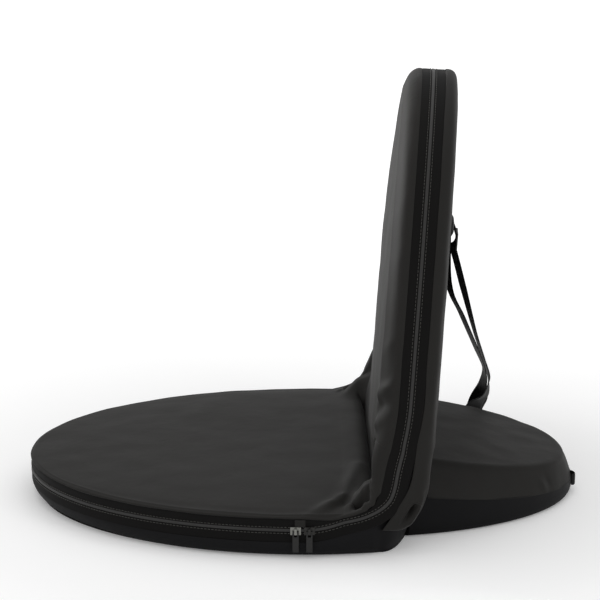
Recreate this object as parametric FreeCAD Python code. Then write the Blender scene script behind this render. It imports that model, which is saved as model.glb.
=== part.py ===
import FreeCAD, Part
import math
import os

# Folding stadium seat: an oval padded seat, a padded back on a pair of toothed hinges, and a rear pad.
# Millimetres. +Z is up, the front of the seat faces -Y, and the origin is on the floor under the middle.

Vector = FreeCAD.Vector
os.makedirs("parts", exist_ok=True)

# Seat pad, an oval seen from above
seat_reach = 346.0
pad_half_width = 250.0
seat_height = 50.0
seat_crown = 4.0
seat_floor_inset = 12.0
hinge_offset = 78.0
corner_depth = 60.0

# Back pad, drawn upright and then leaned: s runs up the pad and v runs rearward from the hinge axis
back_height = 467.5
back_oval_reach = 395.0
back_thickness = 63.0
back_front_gap = 5.0
back_front_crown = 9.0
back_rear_crown = 3.0
back_round = 20.0
back_lean = 3.75
bend_height = 70.0

# Soft bend where the seat turns up into the back
lobe_v = 33.0
lobe_s = 2.0
lobe_radius = 31.8
bend_side_inset = 6.0
bend_core_inset = 20.0
hub_wall = 2.0
hub_clearance = 2.0
hub_side_room = 6.0

# Rear pad behind the back
tail_reach = 281.0
tail_half_width = 190.0
tail_centre_offset = -40.0
tail_join_offset = 40.0
tail_rise_offset = 69.0
tail_low_height = 24.0
tail_front_height = 64.0
tail_tip_height = 49.0
tail_seam_front = 46.0
tail_seam_tip = 20.0
tail_floor_round = 9.0

# Cloth, foam and zip
fabric = 2.5
soft_gap = 0.3
shell_top = 21.0
zip_line = 33.6
coil_width = 3.2
coil_proud = 0.7
tape_inset = 1.0
tape_thickness = 1.2
tape_width = 12.4

# Tube frame
tube_radius = 8.0
tube_wall = 1.5
seat_tube_height = 25.0
seat_tube_reach = 300.0
seat_tube_end = 18.0
back_tube_depth = 36.0
back_tube_start = 45.0
back_tube_top = 424.0
back_tube_spring = 200.0
seat_cross_offset = -10.0
back_cross_height = 273.0
cross_radius = 7.0

# Toothed hinges
axis_lift = 6.0
plate_inset = 40.0
plate_thickness = 3.0
plate_gap = 0.3
disc_radius = 17.0
disc_root = 14.8
recline_step = 7.6
recline_steps = 4
pin_radius = 4.0
pin_head = 7.0
head_thickness = 2.1
running_gap = 0.05
rivet_radius = 2.5
rivet_head = 5.0
seat_rivet_offsets = (34.0, 62.0)
back_rivet_heights = (60.0, 92.0)
pawl_pivot_radius = 32.0
pawl_pivot_angle = 21.0
pawl_tip_angle = 62.0
pawl_boss = 3.5
pawl_pin_radius = 2.0
tooth_play = 0.12
spring_thickness = 0.6

# Sliders of the two-way zip, on the right side of the seat
slider_length = 12.0
slider_width = 9.0
slider_plate = 1.2
front_slider_offset = -19.0
slider_spacing = 15.5
slider_travel = 3.0
pull_length = 18.0
pull_width = 7.0
pull_thickness = 1.6
slider_room = 0.35
ear_depth = 3.6
ear_half = 3.4
ear_wall = 1.4
pull_pin_radius = 0.8
pull_arm_drop = 6.0

# Webbing and labels
strap_width = 25.0
strap_thickness = 1.5
patch_width = 42.0
patch_height = 18.0
patch_thickness = 1.6
anchor_inset = 110.0
anchor_height = 311.0
buckle_drop = 28.0
buckle_rim = 3.0
buckle_bar = 2.0
buckle_bar_height = 2.4
buckle_slot_height = 6.4
tab_length = 12.0
tab_height = 8.0
tag_width = 16.0
tag_height = 15.0
tag_depth = 6.0
tag_thickness = 1.2

# Run of the strap. Down and up: share of the way to the rear pad's left edge, distance behind the back,
# share of the height from the slide down to the rear pad. Side: distance out from the rear pad's left edge,
# distance behind the back, share of the rear pad's height.
strap_down = ((0.113, 30.7, 0.119), (0.205, 38.3, 0.236), (0.411, 54.3, 0.484), (0.616, 67.1, 0.662),
              (0.788, 78.2, 0.811), (0.925, 82.8, 0.935))
strap_side = ((5.5, 75.0, 1.15), (19.5, 71.0, 0.86), (25.0, 68.0, 0.45), (34.0, 64.0, 0.14), (50.0, 60.0, 0.055),
              (64.0, 57.0, 0.062), (70.0, 56.0, 0.15), (64.0, 57.0, 0.235), (51.0, 62.0, 0.265), (42.0, 68.0, 0.45),
              (38.0, 75.0, 0.83))
strap_up = ((1.06, 79.0, 0.96), (1.02, 80.0, 0.92), (1.0, 78.2, 0.86), (0.985, 67.8, 0.752), (0.968, 46.7, 0.574),
            (0.957, 27.7, 0.414))

# Places worked out from the sizes above; the origin is halfway from the front tip to the rear tag
rear_span = hinge_offset + tail_centre_offset + tail_reach + soft_gap + tag_depth
seat_centre_y = (seat_reach - rear_span) / 2.0
hinge_y = seat_centre_y + hinge_offset
axis_z = seat_height + axis_lift
lean = math.radians(back_lean)
hinge_half_width = pad_half_width * math.sqrt(1.0 - (hinge_offset / seat_reach) ** 2)
tail_centre_y = hinge_y + tail_centre_offset
tail_join_y = hinge_y + tail_join_offset
tail_rise_y = hinge_y + tail_rise_offset
tail_tip_y = tail_centre_y + tail_reach
seat_rear_y = hinge_y - 6.0
top_rear_y = hinge_y - 26.0
bend_start_y = hinge_y - 40.0
back_oval_s = back_height - back_oval_reach
back_rear = back_front_gap + back_thickness
back_middle = back_front_gap + back_thickness / 2.0
skin = fabric + soft_gap
plate_inner = pad_half_width - plate_inset
plate_outer = plate_inner + plate_thickness
arm_inner = plate_outer + plate_gap
arm_outer = arm_inner + plate_thickness
seat_tube_x = plate_inner - tube_radius
back_tube_x = arm_inner - tube_radius
side_radius = seat_reach ** 2 / pad_half_width
bend_side = hinge_half_width - tape_inset - tape_thickness
pull_pin_z = zip_line - 0.6
patch_face = back_rear + back_rear_crown * 0.8 + soft_gap + patch_thickness
anchor_x = pad_half_width - anchor_inset
buckle_room = strap_thickness / 2.0 + 0.4
buckle_face = patch_face + 2.0 * soft_gap + strap_thickness
bend_top = bend_height - soft_gap
bend_half_width = hinge_half_width - bend_side_inset
bend_core_half_width = plate_inner - bend_core_inset
hub_room = disc_radius + hub_clearance
crease_low = seat_height - 0.5
band_low = zip_line - coil_width / 2.0 - tape_width
far = 900.0


def box(x0, x1, y0, y1, z0, z1):
    return Part.makeBox(x1 - x0, y1 - y0, z1 - z0, Vector(x0, y0, z0))


def fuse_all(shapes):
    result = shapes[0]
    for shape in shapes[1:]:
        result = result.fuse(shape)
    return result.removeSplitter()


def export(name, shape):
    shape.exportStep("parts/" + name + ".step")
    low = shape.BoundBox
    print(name, len(shape.Solids), "solids", round(shape.Volume / 1000.0, 2), "cm3",
          "valid" if shape.isValid() else "NOT VALID",
          [round(v, 1) for v in (low.XMin, low.XMax, low.YMin, low.YMax, low.ZMin, low.ZMax)])


def mirrored(shape):
    return shape.mirror(Vector(0, 0, 0), Vector(1, 0, 0))


def oval(half_width, reach, centre_y, z):
    # Closed oval outline at height z, half_width along X and reach along Y
    centre = Vector(0, centre_y, z)
    side = Vector(half_width, centre_y, z)
    tip = Vector(0, centre_y + reach, z)
    if reach > half_width:
        curve = Part.Ellipse(tip, side, centre)
    else:
        curve = Part.Ellipse(side, tip, centre)
    return Part.Wire(curve.toShape())


def oval_stack(half_width, reach, centre_y, levels):
    # Solid through ovals that step inward by an inset at each height
    wires = [oval(half_width - inset, reach - inset, centre_y, z) for inset, z in levels]
    return Part.makeLoft(wires, True, True)


def keep_y(shape, low, high):
    return shape.common(box(-far, far, low, high, -far, far))


def keep_z(shape, low, high):
    return shape.common(box(-far, far, -far, far, low, high))


def above_line(y0, z0, y1, z1):
    # Everything above a sloping line in the YZ plane, for trimming
    slope = (z1 - z0) / (y1 - y0)
    points = [Vector(-far, -far, z0 + slope * (-far - y0)), Vector(-far, far, z0 + slope * (far - y0)),
              Vector(-far, far, far), Vector(-far, -far, far)]
    return Part.Face(Part.makePolygon(points + points[:1])).extrude(Vector(2 * far, 0, 0))


def profile_yz(points, x0, x1):
    # Polygon of (y, z) points, pushed along X
    corners = [Vector(x0, y, z) for y, z in points]
    return Part.Face(Part.makePolygon(corners + corners[:1])).extrude(Vector(x1 - x0, 0, 0))


def rod_x(radius, x0, x1, y, z):
    return Part.makeCylinder(radius, x1 - x0, Vector(x0, y, z), Vector(1, 0, 0))


def leaned(shape):
    # Upright back coordinates (x, v, s) to the part's frame
    moved = shape.copy()
    moved.rotate(Vector(0, 0, 0), Vector(1, 0, 0), -back_lean)
    moved.translate(Vector(0, hinge_y, axis_z))
    return moved


# Seat pad

def seat_form(inset):
    # The whole padded seat oval, drawn in by an inset on every side
    floor = seat_floor_inset
    rim = seat_height - inset
    levels = [(floor + inset, inset), (floor * 0.45 + inset, 3.0 + inset * 0.6), (2.6 + inset, 9.0),
              (1.0 + inset, 15.0), (inset, shell_top), (inset, rim), (25.0 + inset, rim + seat_crown * 0.5),
              (80.0 + inset, rim + seat_crown * 0.9), (140.0 + inset, rim + seat_crown)]
    return oval_stack(pad_half_width, seat_reach, seat_centre_y, levels)


def corner_form(inset):
    # Rounded rear corners of the seat's lower shell, behind the hinge
    floor = seat_floor_inset
    levels = [(floor + inset, inset), (floor * 0.45 + inset, 3.0 + inset * 0.6), (2.6 + inset, 9.0),
              (1.0 + inset, 15.0), (inset, shell_top)]
    form = oval_stack(hinge_half_width, corner_depth, hinge_y, levels)
    return keep_y(form, hinge_y, tail_join_y)


def hinge_pocket():
    # Room in the seat foam for the tube ends, the toothed plates and their rivets
    low = seat_tube_height - tube_radius - 3.0
    start = hinge_y - seat_rivet_offsets[1] - 14.0
    side = box(plate_inner - 19.0, plate_inner + 15.0, start, hinge_y, low, far)
    return side.fuse(mirrored(side))


def slider_pocket():
    # Room behind the zip for the back plates of the sliders
    depth = 6.0
    run = slider_length / 2.0 + side_radius * math.radians(slider_travel) + 2.0
    start = seat_centre_y + front_slider_offset
    rise = slider_width / 2.0 + 1.5
    return box(pad_half_width - tape_inset - depth, far, start - run, start + slider_spacing + run,
               zip_line - rise, zip_line + rise)


def side_relief():
    # Room beside the seat's rear end for the zip where it turns up to the back
    side = box(bend_side - soft_gap, far, bend_start_y, far, -far, far)
    high = side.common(box(-far, far, -far, far, band_low - soft_gap, far))
    return high.fuse(mirrored(high))


def seat_foam():
    main = keep_y(seat_form(skin), -far, seat_rear_y)
    under = keep_y(seat_form(skin), seat_rear_y - 1.0, hinge_y)
    low_slab = keep_z(under, 0.0, shell_top - soft_gap)
    corners = keep_z(keep_y(corner_form(skin), hinge_y, tail_join_y - soft_gap), 0.0, shell_top - soft_gap)
    crease = box(-far, far, top_rear_y - soft_gap, far, crease_low - soft_gap, far)
    main = main.cut(crease)
    tunnel = seat_tube_path_solid(tube_radius + soft_gap)
    cross = rod_x(cross_radius + soft_gap, -seat_tube_x, seat_tube_x, seat_centre_y + seat_cross_offset,
                  seat_tube_height)
    foam = main.fuse(low_slab).fuse(corners).removeSplitter()
    return foam.cut(tunnel).cut(cross).cut(hinge_pocket()).cut(slider_pocket()).cut(side_relief())


def seat_cover_bottom():
    skin_solid = keep_z(seat_form(0.0), 0.0, shell_top).cut(seat_form(fabric))
    front = keep_y(skin_solid, -far, hinge_y)
    rear = corner_form(0.0).cut(corner_form(fabric))
    return front.fuse(rear).removeSplitter()


def seat_cover_top():
    top = keep_z(seat_form(0.0), zip_line + coil_width / 2.0 + tape_width, far).cut(seat_form(fabric))
    return keep_y(top, -far, top_rear_y).cut(side_relief())


def seat_band(low, high, inset, thickness):
    # A strip of the zip around the seat's side, from a low to a high edge
    outer = oval_stack(pad_half_width, seat_reach, seat_centre_y, [(inset, low), (inset, high)])
    inner = oval_stack(pad_half_width, seat_reach, seat_centre_y,
                       [(inset + thickness, low - 1.0), (inset + thickness, high + 1.0)])
    return keep_y(outer.cut(inner), -far, bend_start_y)


def seat_zip():
    half = coil_width / 2.0
    lower = seat_band(shell_top, zip_line - half, tape_inset, tape_thickness)
    upper = seat_band(zip_line + half, zip_line + half + tape_width, tape_inset, tape_thickness)
    coil = seat_band(zip_line - half, zip_line + half, tape_inset - coil_proud, tape_thickness + coil_proud)
    gap_start = seat_centre_y + front_slider_offset - slider_length * 0.15
    gap_end = seat_centre_y + front_slider_offset + slider_spacing + slider_length * 0.15
    near = box(0, far, gap_start, far, -far, far)
    coil_front = coil.cut(near)
    coil_rear = coil.common(box(0, far, gap_end, far, -far, far))
    return lower, upper, coil_front, coil_rear


# Rear pad

def tail_form(inset, top_line):
    # The rear pad's body, low under the back and rising behind it
    levels = [(tail_floor_round + inset, inset), (3.0 + inset, 4.0 + inset * 0.4), (inset, 12.0), (inset, 90.0)]
    form = oval_stack(tail_half_width, tail_reach, tail_centre_y, levels)
    form = keep_y(form, tail_join_y + (soft_gap if inset > fabric else 0.0), far)
    form = form.cut(box(-far, far, -far, tail_rise_y + inset, tail_low_height - inset, far))
    return form.cut(top_line)


def tail_top_line(drop):
    return above_line(tail_rise_y, tail_front_height - drop, tail_tip_y, tail_tip_height - drop)


def tail_pad():
    outer = tail_form(0.0, tail_top_line(0.0))
    inner = tail_form(fabric, tail_top_line(fabric))
    open_front = box(-far, far, tail_join_y - 1.0, tail_join_y + 6.0, fabric, tail_low_height - fabric)
    walls = outer.cut(inner).cut(open_front)
    upper_side = above_line(tail_rise_y, tail_seam_front, tail_tip_y, tail_seam_tip)
    upper_side = keep_y(upper_side, tail_rise_y, far)
    foam = tail_form(skin, tail_top_line(skin))
    return foam, walls.common(upper_side), walls.cut(upper_side)


def tail_tag():
    # Small bare loop sewn into the rear pad's tip
    z = tail_tip_height - 28.0
    y = tail_tip_y + soft_gap
    outer = box(-tag_width / 2.0, tag_width / 2.0, y, y + tag_depth, z, z + tag_height)
    inner = box(-tag_width, tag_width, y + tag_thickness, y + tag_depth - tag_thickness, z + tag_thickness,
                z + tag_height - tag_thickness)
    return outer.cut(inner)


# Tube frame

def swept_tube(path, start, direction, radius):
    ring = Part.Wire(Part.makeCircle(radius, start, direction))
    return path.makePipeShell([ring], True, False)


def seat_tube_path():
    # Two straight legs joined by an oval front bow
    end_y = hinge_y - seat_tube_end
    bow = Part.Ellipse(Vector(0, seat_centre_y - seat_tube_reach, seat_tube_height),
                       Vector(seat_tube_x, seat_centre_y, seat_tube_height),
                       Vector(0, seat_centre_y, seat_tube_height))
    right = Vector(seat_tube_x, seat_centre_y, seat_tube_height)
    left = Vector(-seat_tube_x, seat_centre_y, seat_tube_height)
    front = Vector(0, seat_centre_y - seat_tube_reach, seat_tube_height)
    first, last = sorted([bow.parameter(right), bow.parameter(left)])
    arc = bow.toShape(first, last)
    middle = arc.valueAt((first + last) / 2.0)
    if (middle - front).Length > 1.0:
        arc = bow.toShape(last, first + 2.0 * math.pi)
    leg_right = Part.makeLine(Vector(seat_tube_x, end_y, seat_tube_height), right)
    leg_left = Part.makeLine(left, Vector(-seat_tube_x, end_y, seat_tube_height))
    return Part.Wire(Part.__sortEdges__([leg_right, arc, leg_left]))


def seat_tube_path_solid(radius):
    start = Vector(seat_tube_x, hinge_y - seat_tube_end, seat_tube_height)
    return swept_tube(seat_tube_path(), start, Vector(0, 1, 0), radius)


def seat_rivet_holes():
    holes = []
    for side in (1.0, -1.0):
        for offset in seat_rivet_offsets:
            low = min(side * (seat_tube_x - tube_radius - 4.0), side * (plate_outer + 4.0))
            high = max(side * (seat_tube_x - tube_radius - 4.0), side * (plate_outer + 4.0))
            holes.append(rod_x(rivet_radius + running_gap, low, high, hinge_y - offset, seat_tube_height))
    return holes


def seat_frame_tube():
    tube = seat_tube_path_solid(tube_radius).cut(seat_tube_path_solid(tube_radius - tube_wall))
    for hole in seat_rivet_holes():
        tube = tube.cut(hole)
    return tube


def seat_cross_tube():
    y = seat_centre_y + seat_cross_offset
    bar = rod_x(cross_radius, -seat_tube_x, seat_tube_x, y, seat_tube_height)
    bore = rod_x(cross_radius - tube_wall, -seat_tube_x, seat_tube_x, y, seat_tube_height)
    return bar.cut(bore).cut(seat_tube_path_solid(tube_radius + running_gap))


def back_tube_path():
    # Two straight legs joined by an oval top bow, in upright back coordinates
    centre = Vector(0, back_tube_depth, back_tube_spring)
    top = Vector(0, back_tube_depth, back_tube_top)
    right = Vector(back_tube_x, back_tube_depth, back_tube_spring)
    left = Vector(-back_tube_x, back_tube_depth, back_tube_spring)
    bow = Part.Ellipse(top, right, centre)
    first, last = sorted([bow.parameter(right), bow.parameter(left)])
    arc = bow.toShape(first, last)
    if (arc.valueAt((first + last) / 2.0) - top).Length > 1.0:
        arc = bow.toShape(last, first + 2.0 * math.pi)
    leg_right = Part.makeLine(Vector(back_tube_x, back_tube_depth, back_tube_start), right)
    leg_left = Part.makeLine(left, Vector(-back_tube_x, back_tube_depth, back_tube_start))
    return Part.Wire(Part.__sortEdges__([leg_right, arc, leg_left]))


def back_tube_path_solid(radius):
    start = Vector(back_tube_x, back_tube_depth, back_tube_start)
    return swept_tube(back_tube_path(), start, Vector(0, 0, -1), radius)


def back_rivet_holes():
    holes = []
    for side in (1.0, -1.0):
        for height in back_rivet_heights:
            low = min(side * (back_tube_x - tube_radius - 4.0), side * (arm_outer + 4.0))
            high = max(side * (back_tube_x - tube_radius - 4.0), side * (arm_outer + 4.0))
            holes.append(rod_x(rivet_radius + running_gap, low, high, back_tube_depth, height))
    return holes


def back_frame_tube():
    tube = back_tube_path_solid(tube_radius).cut(back_tube_path_solid(tube_radius - tube_wall))
    for hole in back_rivet_holes():
        tube = tube.cut(hole)
    return leaned(tube)


def back_cross_span():
    # Half length of the cross tube where it meets the bow
    rise = (back_cross_height - back_tube_spring) / (back_tube_top - back_tube_spring)
    return back_tube_x * math.sqrt(1.0 - rise ** 2)


def back_cross_tube():
    half = back_cross_span()
    bar = rod_x(cross_radius, -half, half, back_tube_depth, back_cross_height)
    bore = rod_x(cross_radius - tube_wall, -half, half, back_tube_depth, back_cross_height)
    return leaned(bar.cut(bore).cut(back_tube_path_solid(tube_radius + running_gap)))


def rivet(x0, x1, y, z):
    # Round shank with a flat head at each end; x0 and x1 are the faces that it clamps
    shank = rod_x(rivet_radius, x0, x1, y, z)
    inner = rod_x(rivet_head, x0 - head_thickness, x0, y, z)
    outer = rod_x(rivet_head, x1, x1 + head_thickness, y, z)
    return shank.fuse(inner).fuse(outer)


def seat_rivets():
    solids = []
    for offset in seat_rivet_offsets:
        one = rivet(seat_tube_x - tube_radius, plate_outer, hinge_y - offset, seat_tube_height)
        solids += [one, mirrored(one)]
    return Part.makeCompound(solids)


def back_rivets():
    solids = []
    for height in back_rivet_heights:
        one = rivet(back_tube_x - tube_radius, arm_outer, back_tube_depth, height)
        solids += [one, mirrored(one)]
    return leaned(Part.makeCompound(solids))


# Toothed hinges, built for the right side and mirrored for the left

def polar(radius, degrees):
    # Point around the hinge axis; zero is straight up and angles grow toward the rear
    angle = math.radians(degrees)
    return radius * math.sin(angle), radius * math.cos(angle)


def around_axis(points):
    return [(hinge_y + y, axis_z + z) for y, z in points]


def tooth_gap(degrees):
    # Its rear flank slopes along the path on which the pawl's nose lifts out
    points = [polar(disc_radius + 0.6, degrees - 1.6), polar(disc_root + 0.1, degrees - 0.4),
              polar(disc_root + 0.1, degrees + 0.6), polar(disc_radius + 0.6, degrees + 4.4)]
    return profile_yz(around_axis(points), plate_inner - 1.0, plate_outer + 1.0)


def hinge_seat_plate():
    first = pawl_tip_angle + back_lean
    root = rod_x(disc_root, plate_inner, plate_outer, hinge_y, axis_z)
    rim = rod_x(disc_radius, plate_inner, plate_outer, hinge_y, axis_z)
    sweep = [(0.0, 0.0)] + [polar(40.0, first - 4.2 + step * 20.0) for step in range(8)]
    rim = rim.common(profile_yz(around_axis(sweep), plate_inner, plate_outer))
    low = seat_tube_height - 7.0
    near, off = seat_rivet_offsets
    leg = profile_yz([(hinge_y - off - 9.0, low), (hinge_y - near + 12.0, low), (hinge_y + 9.0, axis_z - 12.0),
                      (hinge_y - 12.0, axis_z - 6.0), (hinge_y - off - 9.0, low + 14.0)], plate_inner, plate_outer)
    plate = root.fuse(rim).fuse(leg)
    for step in range(recline_steps + 1):
        plate = plate.cut(tooth_gap(first + step * recline_step))
    plate = plate.cut(rod_x(pin_radius + running_gap, plate_inner - 1.0, plate_outer + 1.0, hinge_y, axis_z))
    for hole in seat_rivet_holes():
        plate = plate.cut(hole)
    return plate.removeSplitter()


def hinge_pin():
    shank = rod_x(pin_radius, plate_inner, arm_outer + plate_gap, hinge_y, axis_z)
    inner = rod_x(pin_head, plate_inner - head_thickness, plate_inner, hinge_y, axis_z)
    outer = rod_x(pin_head, arm_outer + plate_gap, arm_outer + plate_gap + head_thickness, hinge_y, axis_z)
    return shank.fuse(inner).fuse(outer)


def pawl_pivot():
    return polar(pawl_pivot_radius, pawl_pivot_angle)


def hinge_back_arm():
    # Disc on the pin and a strap up to the back tube's leg, in upright back coordinates
    disc = rod_x(15.0, arm_inner, arm_outer, 0.0, 0.0)
    v, s = pawl_pivot()
    low, high = back_rivet_heights
    strap = profile_yz([(0.0, 14.5), (13.0, -6.0), (back_tube_depth + 7.0, low - 12.0),
                        (back_tube_depth + 7.0, high + 9.0), (back_tube_depth - 7.0, high + 9.0),
                        (back_tube_depth - 7.0, low - 2.0), (v - 3.0, s + 7.0), (v - 3.4, s - 3.0),
                        (v - 3.4, 16.0)], arm_inner, arm_outer)
    arm = disc.fuse(strap)
    arm = arm.cut(rod_x(pin_radius + running_gap, arm_inner - 1.0, arm_outer + 1.0, 0.0, 0.0))
    arm = arm.cut(rod_x(pawl_pin_radius + running_gap, arm_inner - 1.0, arm_outer + 1.0, v, s))
    for hole in back_rivet_holes():
        arm = arm.cut(hole)
    return leaned(arm.removeSplitter())


def pawl():
    # Lever whose nose stands in a tooth gap, in upright back coordinates
    v, s = pawl_pivot()
    nose = [polar(disc_radius + 0.9, pawl_tip_angle - 1.0), polar(disc_root + 0.1 + tooth_play, pawl_tip_angle - 0.2),
            polar(disc_root + 0.1 + tooth_play, pawl_tip_angle + 0.3), polar(disc_radius + 0.9, pawl_tip_angle + 3.5)]
    back_of_nose = polar(disc_radius + 7.0, pawl_tip_angle + 2.0)
    lever = profile_yz([nose[0], nose[1], nose[2], nose[3], back_of_nose, (v + 3.0, s + 1.0), (v - 3.0, s)],
                       plate_inner, plate_outer)
    boss = rod_x(pawl_boss, plate_inner, plate_outer, v, s)
    bore = rod_x(pawl_pin_radius + running_gap, plate_inner - 1.0, plate_outer + 1.0, v, s)
    return leaned(lever.fuse(boss).cut(bore).removeSplitter())


def pawl_pin():
    v, s = pawl_pivot()
    shank = rod_x(pawl_pin_radius, plate_inner - 0.2, arm_outer, v, s)
    inner = rod_x(pawl_boss, plate_inner - 0.2 - 1.4, plate_inner - 0.2, v, s)
    outer = rod_x(pawl_boss, arm_outer, arm_outer + 1.4, v, s)
    return leaned(shank.fuse(inner).fuse(outer))


def pawl_spring():
    # Flat leaf on a stud of the arm, pressing the pawl's back toward the teeth
    v, s = pawl_pivot()
    nose_v, nose_s = polar(disc_radius + 7.0, pawl_tip_angle + 2.0)
    foot = Vector(plate_inner + 0.4, nose_v + 0.9, nose_s + 2.5)
    head = Vector(plate_inner + 0.4, v + 13.5, s + 9.0)
    along = (head - foot).normalize()
    across = Vector(0, along.z, -along.y) * spring_thickness
    corners = [foot, head, head + across, foot + across]
    leaf = Part.Face(Part.makePolygon(corners + corners[:1])).extrude(Vector(plate_thickness - 0.8, 0, 0))
    stud = box(plate_inner, arm_inner, head.y - 1.5, head.y + 3.5, head.z + 0.1, head.z + 4.1)
    return leaned(leaf), leaned(stud)


# Back pad

def back_form(inset):
    # The whole padded back, upright: ovals that step from the front face to the rear face
    half = back_thickness / 2.0
    squeeze = (half - inset) / half
    r = back_round
    edge = [(r + 4.0, -0.4), (r * 0.5, r * 0.13), (r * 0.15, r * 0.45), (0.0, r)]
    front = [(150.0, -back_front_crown), (80.0, -back_front_crown * 0.8)] + edge
    rear = [(150.0, -back_rear_crown), (80.0, -back_rear_crown * 0.8)] + edge
    depths = [(i, back_front_gap + d) for i, d in front]
    depths += [(i, back_rear - d) for i, d in reversed(rear)]
    wires = []
    for step, depth in depths:
        flat = oval(pad_half_width - step - inset, back_oval_reach - step - inset, back_oval_s, 0.0)
        flat.rotate(Vector(0, 0, 0), Vector(1, 0, 0), 90.0)
        flat.translate(Vector(0, back_middle + (depth - back_middle) * squeeze, 0))
        wires.append(flat)
    return Part.makeLoft(wires, True, True)


def keep_box(shape, v0, v1, s0, s1):
    return shape.common(box(-far, far, v0, v1, s0, s1))


def back_foam():
    form = keep_box(back_form(skin), -far, far, bend_height, far)
    tunnel = back_tube_path_solid(tube_radius + soft_gap)
    span = back_cross_span()
    cross = rod_x(cross_radius + soft_gap, -span, span, back_tube_depth, back_cross_height)
    side = box(plate_inner - 18.0, plate_inner + 15.0, 14.0, 58.0, 0.0, back_rivet_heights[1] + 14.0)
    return leaned(form.cut(tunnel).cut(cross).cut(side).cut(mirrored(side)))


def zip_depths():
    half = coil_width / 2.0
    return back_middle - half - tape_width, back_middle - half, back_middle + half, back_middle + half + tape_width


def back_covers():
    front_edge, coil_low, coil_high, rear_edge = zip_depths()
    shell = back_form(0.0).cut(back_form(fabric))
    front = keep_box(shell, -far, front_edge, bend_height, far)
    rear = keep_box(shell, rear_edge, far, bend_height, far)
    return leaned(front), leaned(rear)


def back_band(low, high, inset, thickness):
    # A strip of the zip around the back's edge between two depths
    wires = []
    for step, depth in ((inset, low), (inset, high)):
        flat = oval(pad_half_width - step, back_oval_reach - step, back_oval_s, 0.0)
        flat.rotate(Vector(0, 0, 0), Vector(1, 0, 0), 90.0)
        flat.translate(Vector(0, depth, 0))
        wires.append(flat)
    outer = Part.makeLoft(wires, True, True)
    wires = []
    for step, depth in ((inset + thickness, low - 1.0), (inset + thickness, high + 1.0)):
        flat = oval(pad_half_width - step, back_oval_reach - step, back_oval_s, 0.0)
        flat.rotate(Vector(0, 0, 0), Vector(1, 0, 0), 90.0)
        flat.translate(Vector(0, depth, 0))
        wires.append(flat)
    inner = Part.makeLoft(wires, True, True)
    return leaned(keep_box(outer.cut(inner), -far, far, bend_height, far))


def back_zip():
    front_edge, coil_low, coil_high, rear_edge = zip_depths()
    front = back_band(front_edge, coil_low, tape_inset, tape_thickness)
    rear = back_band(coil_high, rear_edge, tape_inset, tape_thickness)
    coil = back_band(coil_low, coil_high, tape_inset - coil_proud, tape_thickness + coil_proud)
    return front, rear, coil


# Soft bend between seat and back


def lobe_outline(inset, x0, x1):
    # Rounded lower end of the back pad, drawn in by an inset, upright and pushed along X
    r = lobe_radius - inset
    rear = back_rear - inset
    front = back_front_gap + inset
    low_front = lobe_v - r
    start = Vector(x0, max(front, low_front), bend_top)
    front_low = Vector(x0, lobe_v - r, lobe_s)
    bottom = Vector(x0, lobe_v, lobe_s - r)
    rear_low = Vector(x0, lobe_v + r, lobe_s)
    rear_mid = Vector(x0, rear, lobe_s + 38.0)
    rear_top = Vector(x0, rear, bend_top)
    edges = [Part.makeLine(start, Vector(x0, start.y, lobe_s + 8.0)),
             Part.makeLine(Vector(x0, start.y, lobe_s + 8.0), front_low),
             Part.Arc(front_low, bottom, rear_low).toShape(),
             Part.makeLine(rear_low, rear_mid), Part.makeLine(rear_mid, rear_top), Part.makeLine(rear_top, start)]
    return Part.Face(Part.Wire(edges)).extrude(Vector(x1 - x0, 0, 0))


def bend_foam():
    lobe = lobe_outline(skin, -bend_core_half_width, bend_core_half_width)
    return leaned(lobe.cut(box(-far, far, -far, back_front_gap + skin, -far, far)))


def bend_cover_rear():
    # Rear cloth carried down round the lower end, closed at each side
    ring = lobe_outline(0.0, -bend_half_width, bend_half_width)
    ring = ring.cut(lobe_outline(fabric, -bend_half_width + fabric, bend_half_width - fabric))
    open_front = box(-far, far, -far, 14.0, -far, far)
    front_side = box(-far, far, -far, zip_depths()[0], 8.0, far)
    return leaned(ring.cut(open_front).cut(front_side))


def hub_bumps(radius, x_room):
    bumps = []
    for side in (1.0, -1.0):
        low = side * (plate_inner - x_room)
        high = side * (arm_outer + x_room)
        bumps.append(rod_x(radius, min(low, high), max(low, high), hinge_y, axis_z))
    return bumps


def bend_cover_front():
    # Cloth from the seat top across the crease and up the front of the back, domed over each hinge
    upright = leaned(box(-bend_half_width, bend_half_width, back_front_gap, back_front_gap + fabric, 2.0, bend_top))
    flat = box(-bend_half_width, bend_half_width, top_rear_y + soft_gap, hinge_y + 6.0, crease_low,
               crease_low + fabric)
    sheet = flat.fuse(upright)
    crease = leaned(box(-bend_half_width, bend_half_width, 2.0, back_front_gap + fabric, -8.0, 4.0))
    sheet = sheet.fuse(crease)
    for bump in hub_bumps(hub_room + hub_wall, hub_side_room + hub_wall):
        quarter = bump.common(box(-far, far, -far, hinge_y + 8.0, crease_low + 0.2, far))
        sheet = sheet.fuse(quarter)
    for room in hub_bumps(hub_room, hub_side_room):
        sheet = sheet.cut(room)
    behind = leaned(box(-far, far, back_front_gap + fabric, far, -8.0, far))
    return sheet.cut(behind).removeSplitter()


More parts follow.
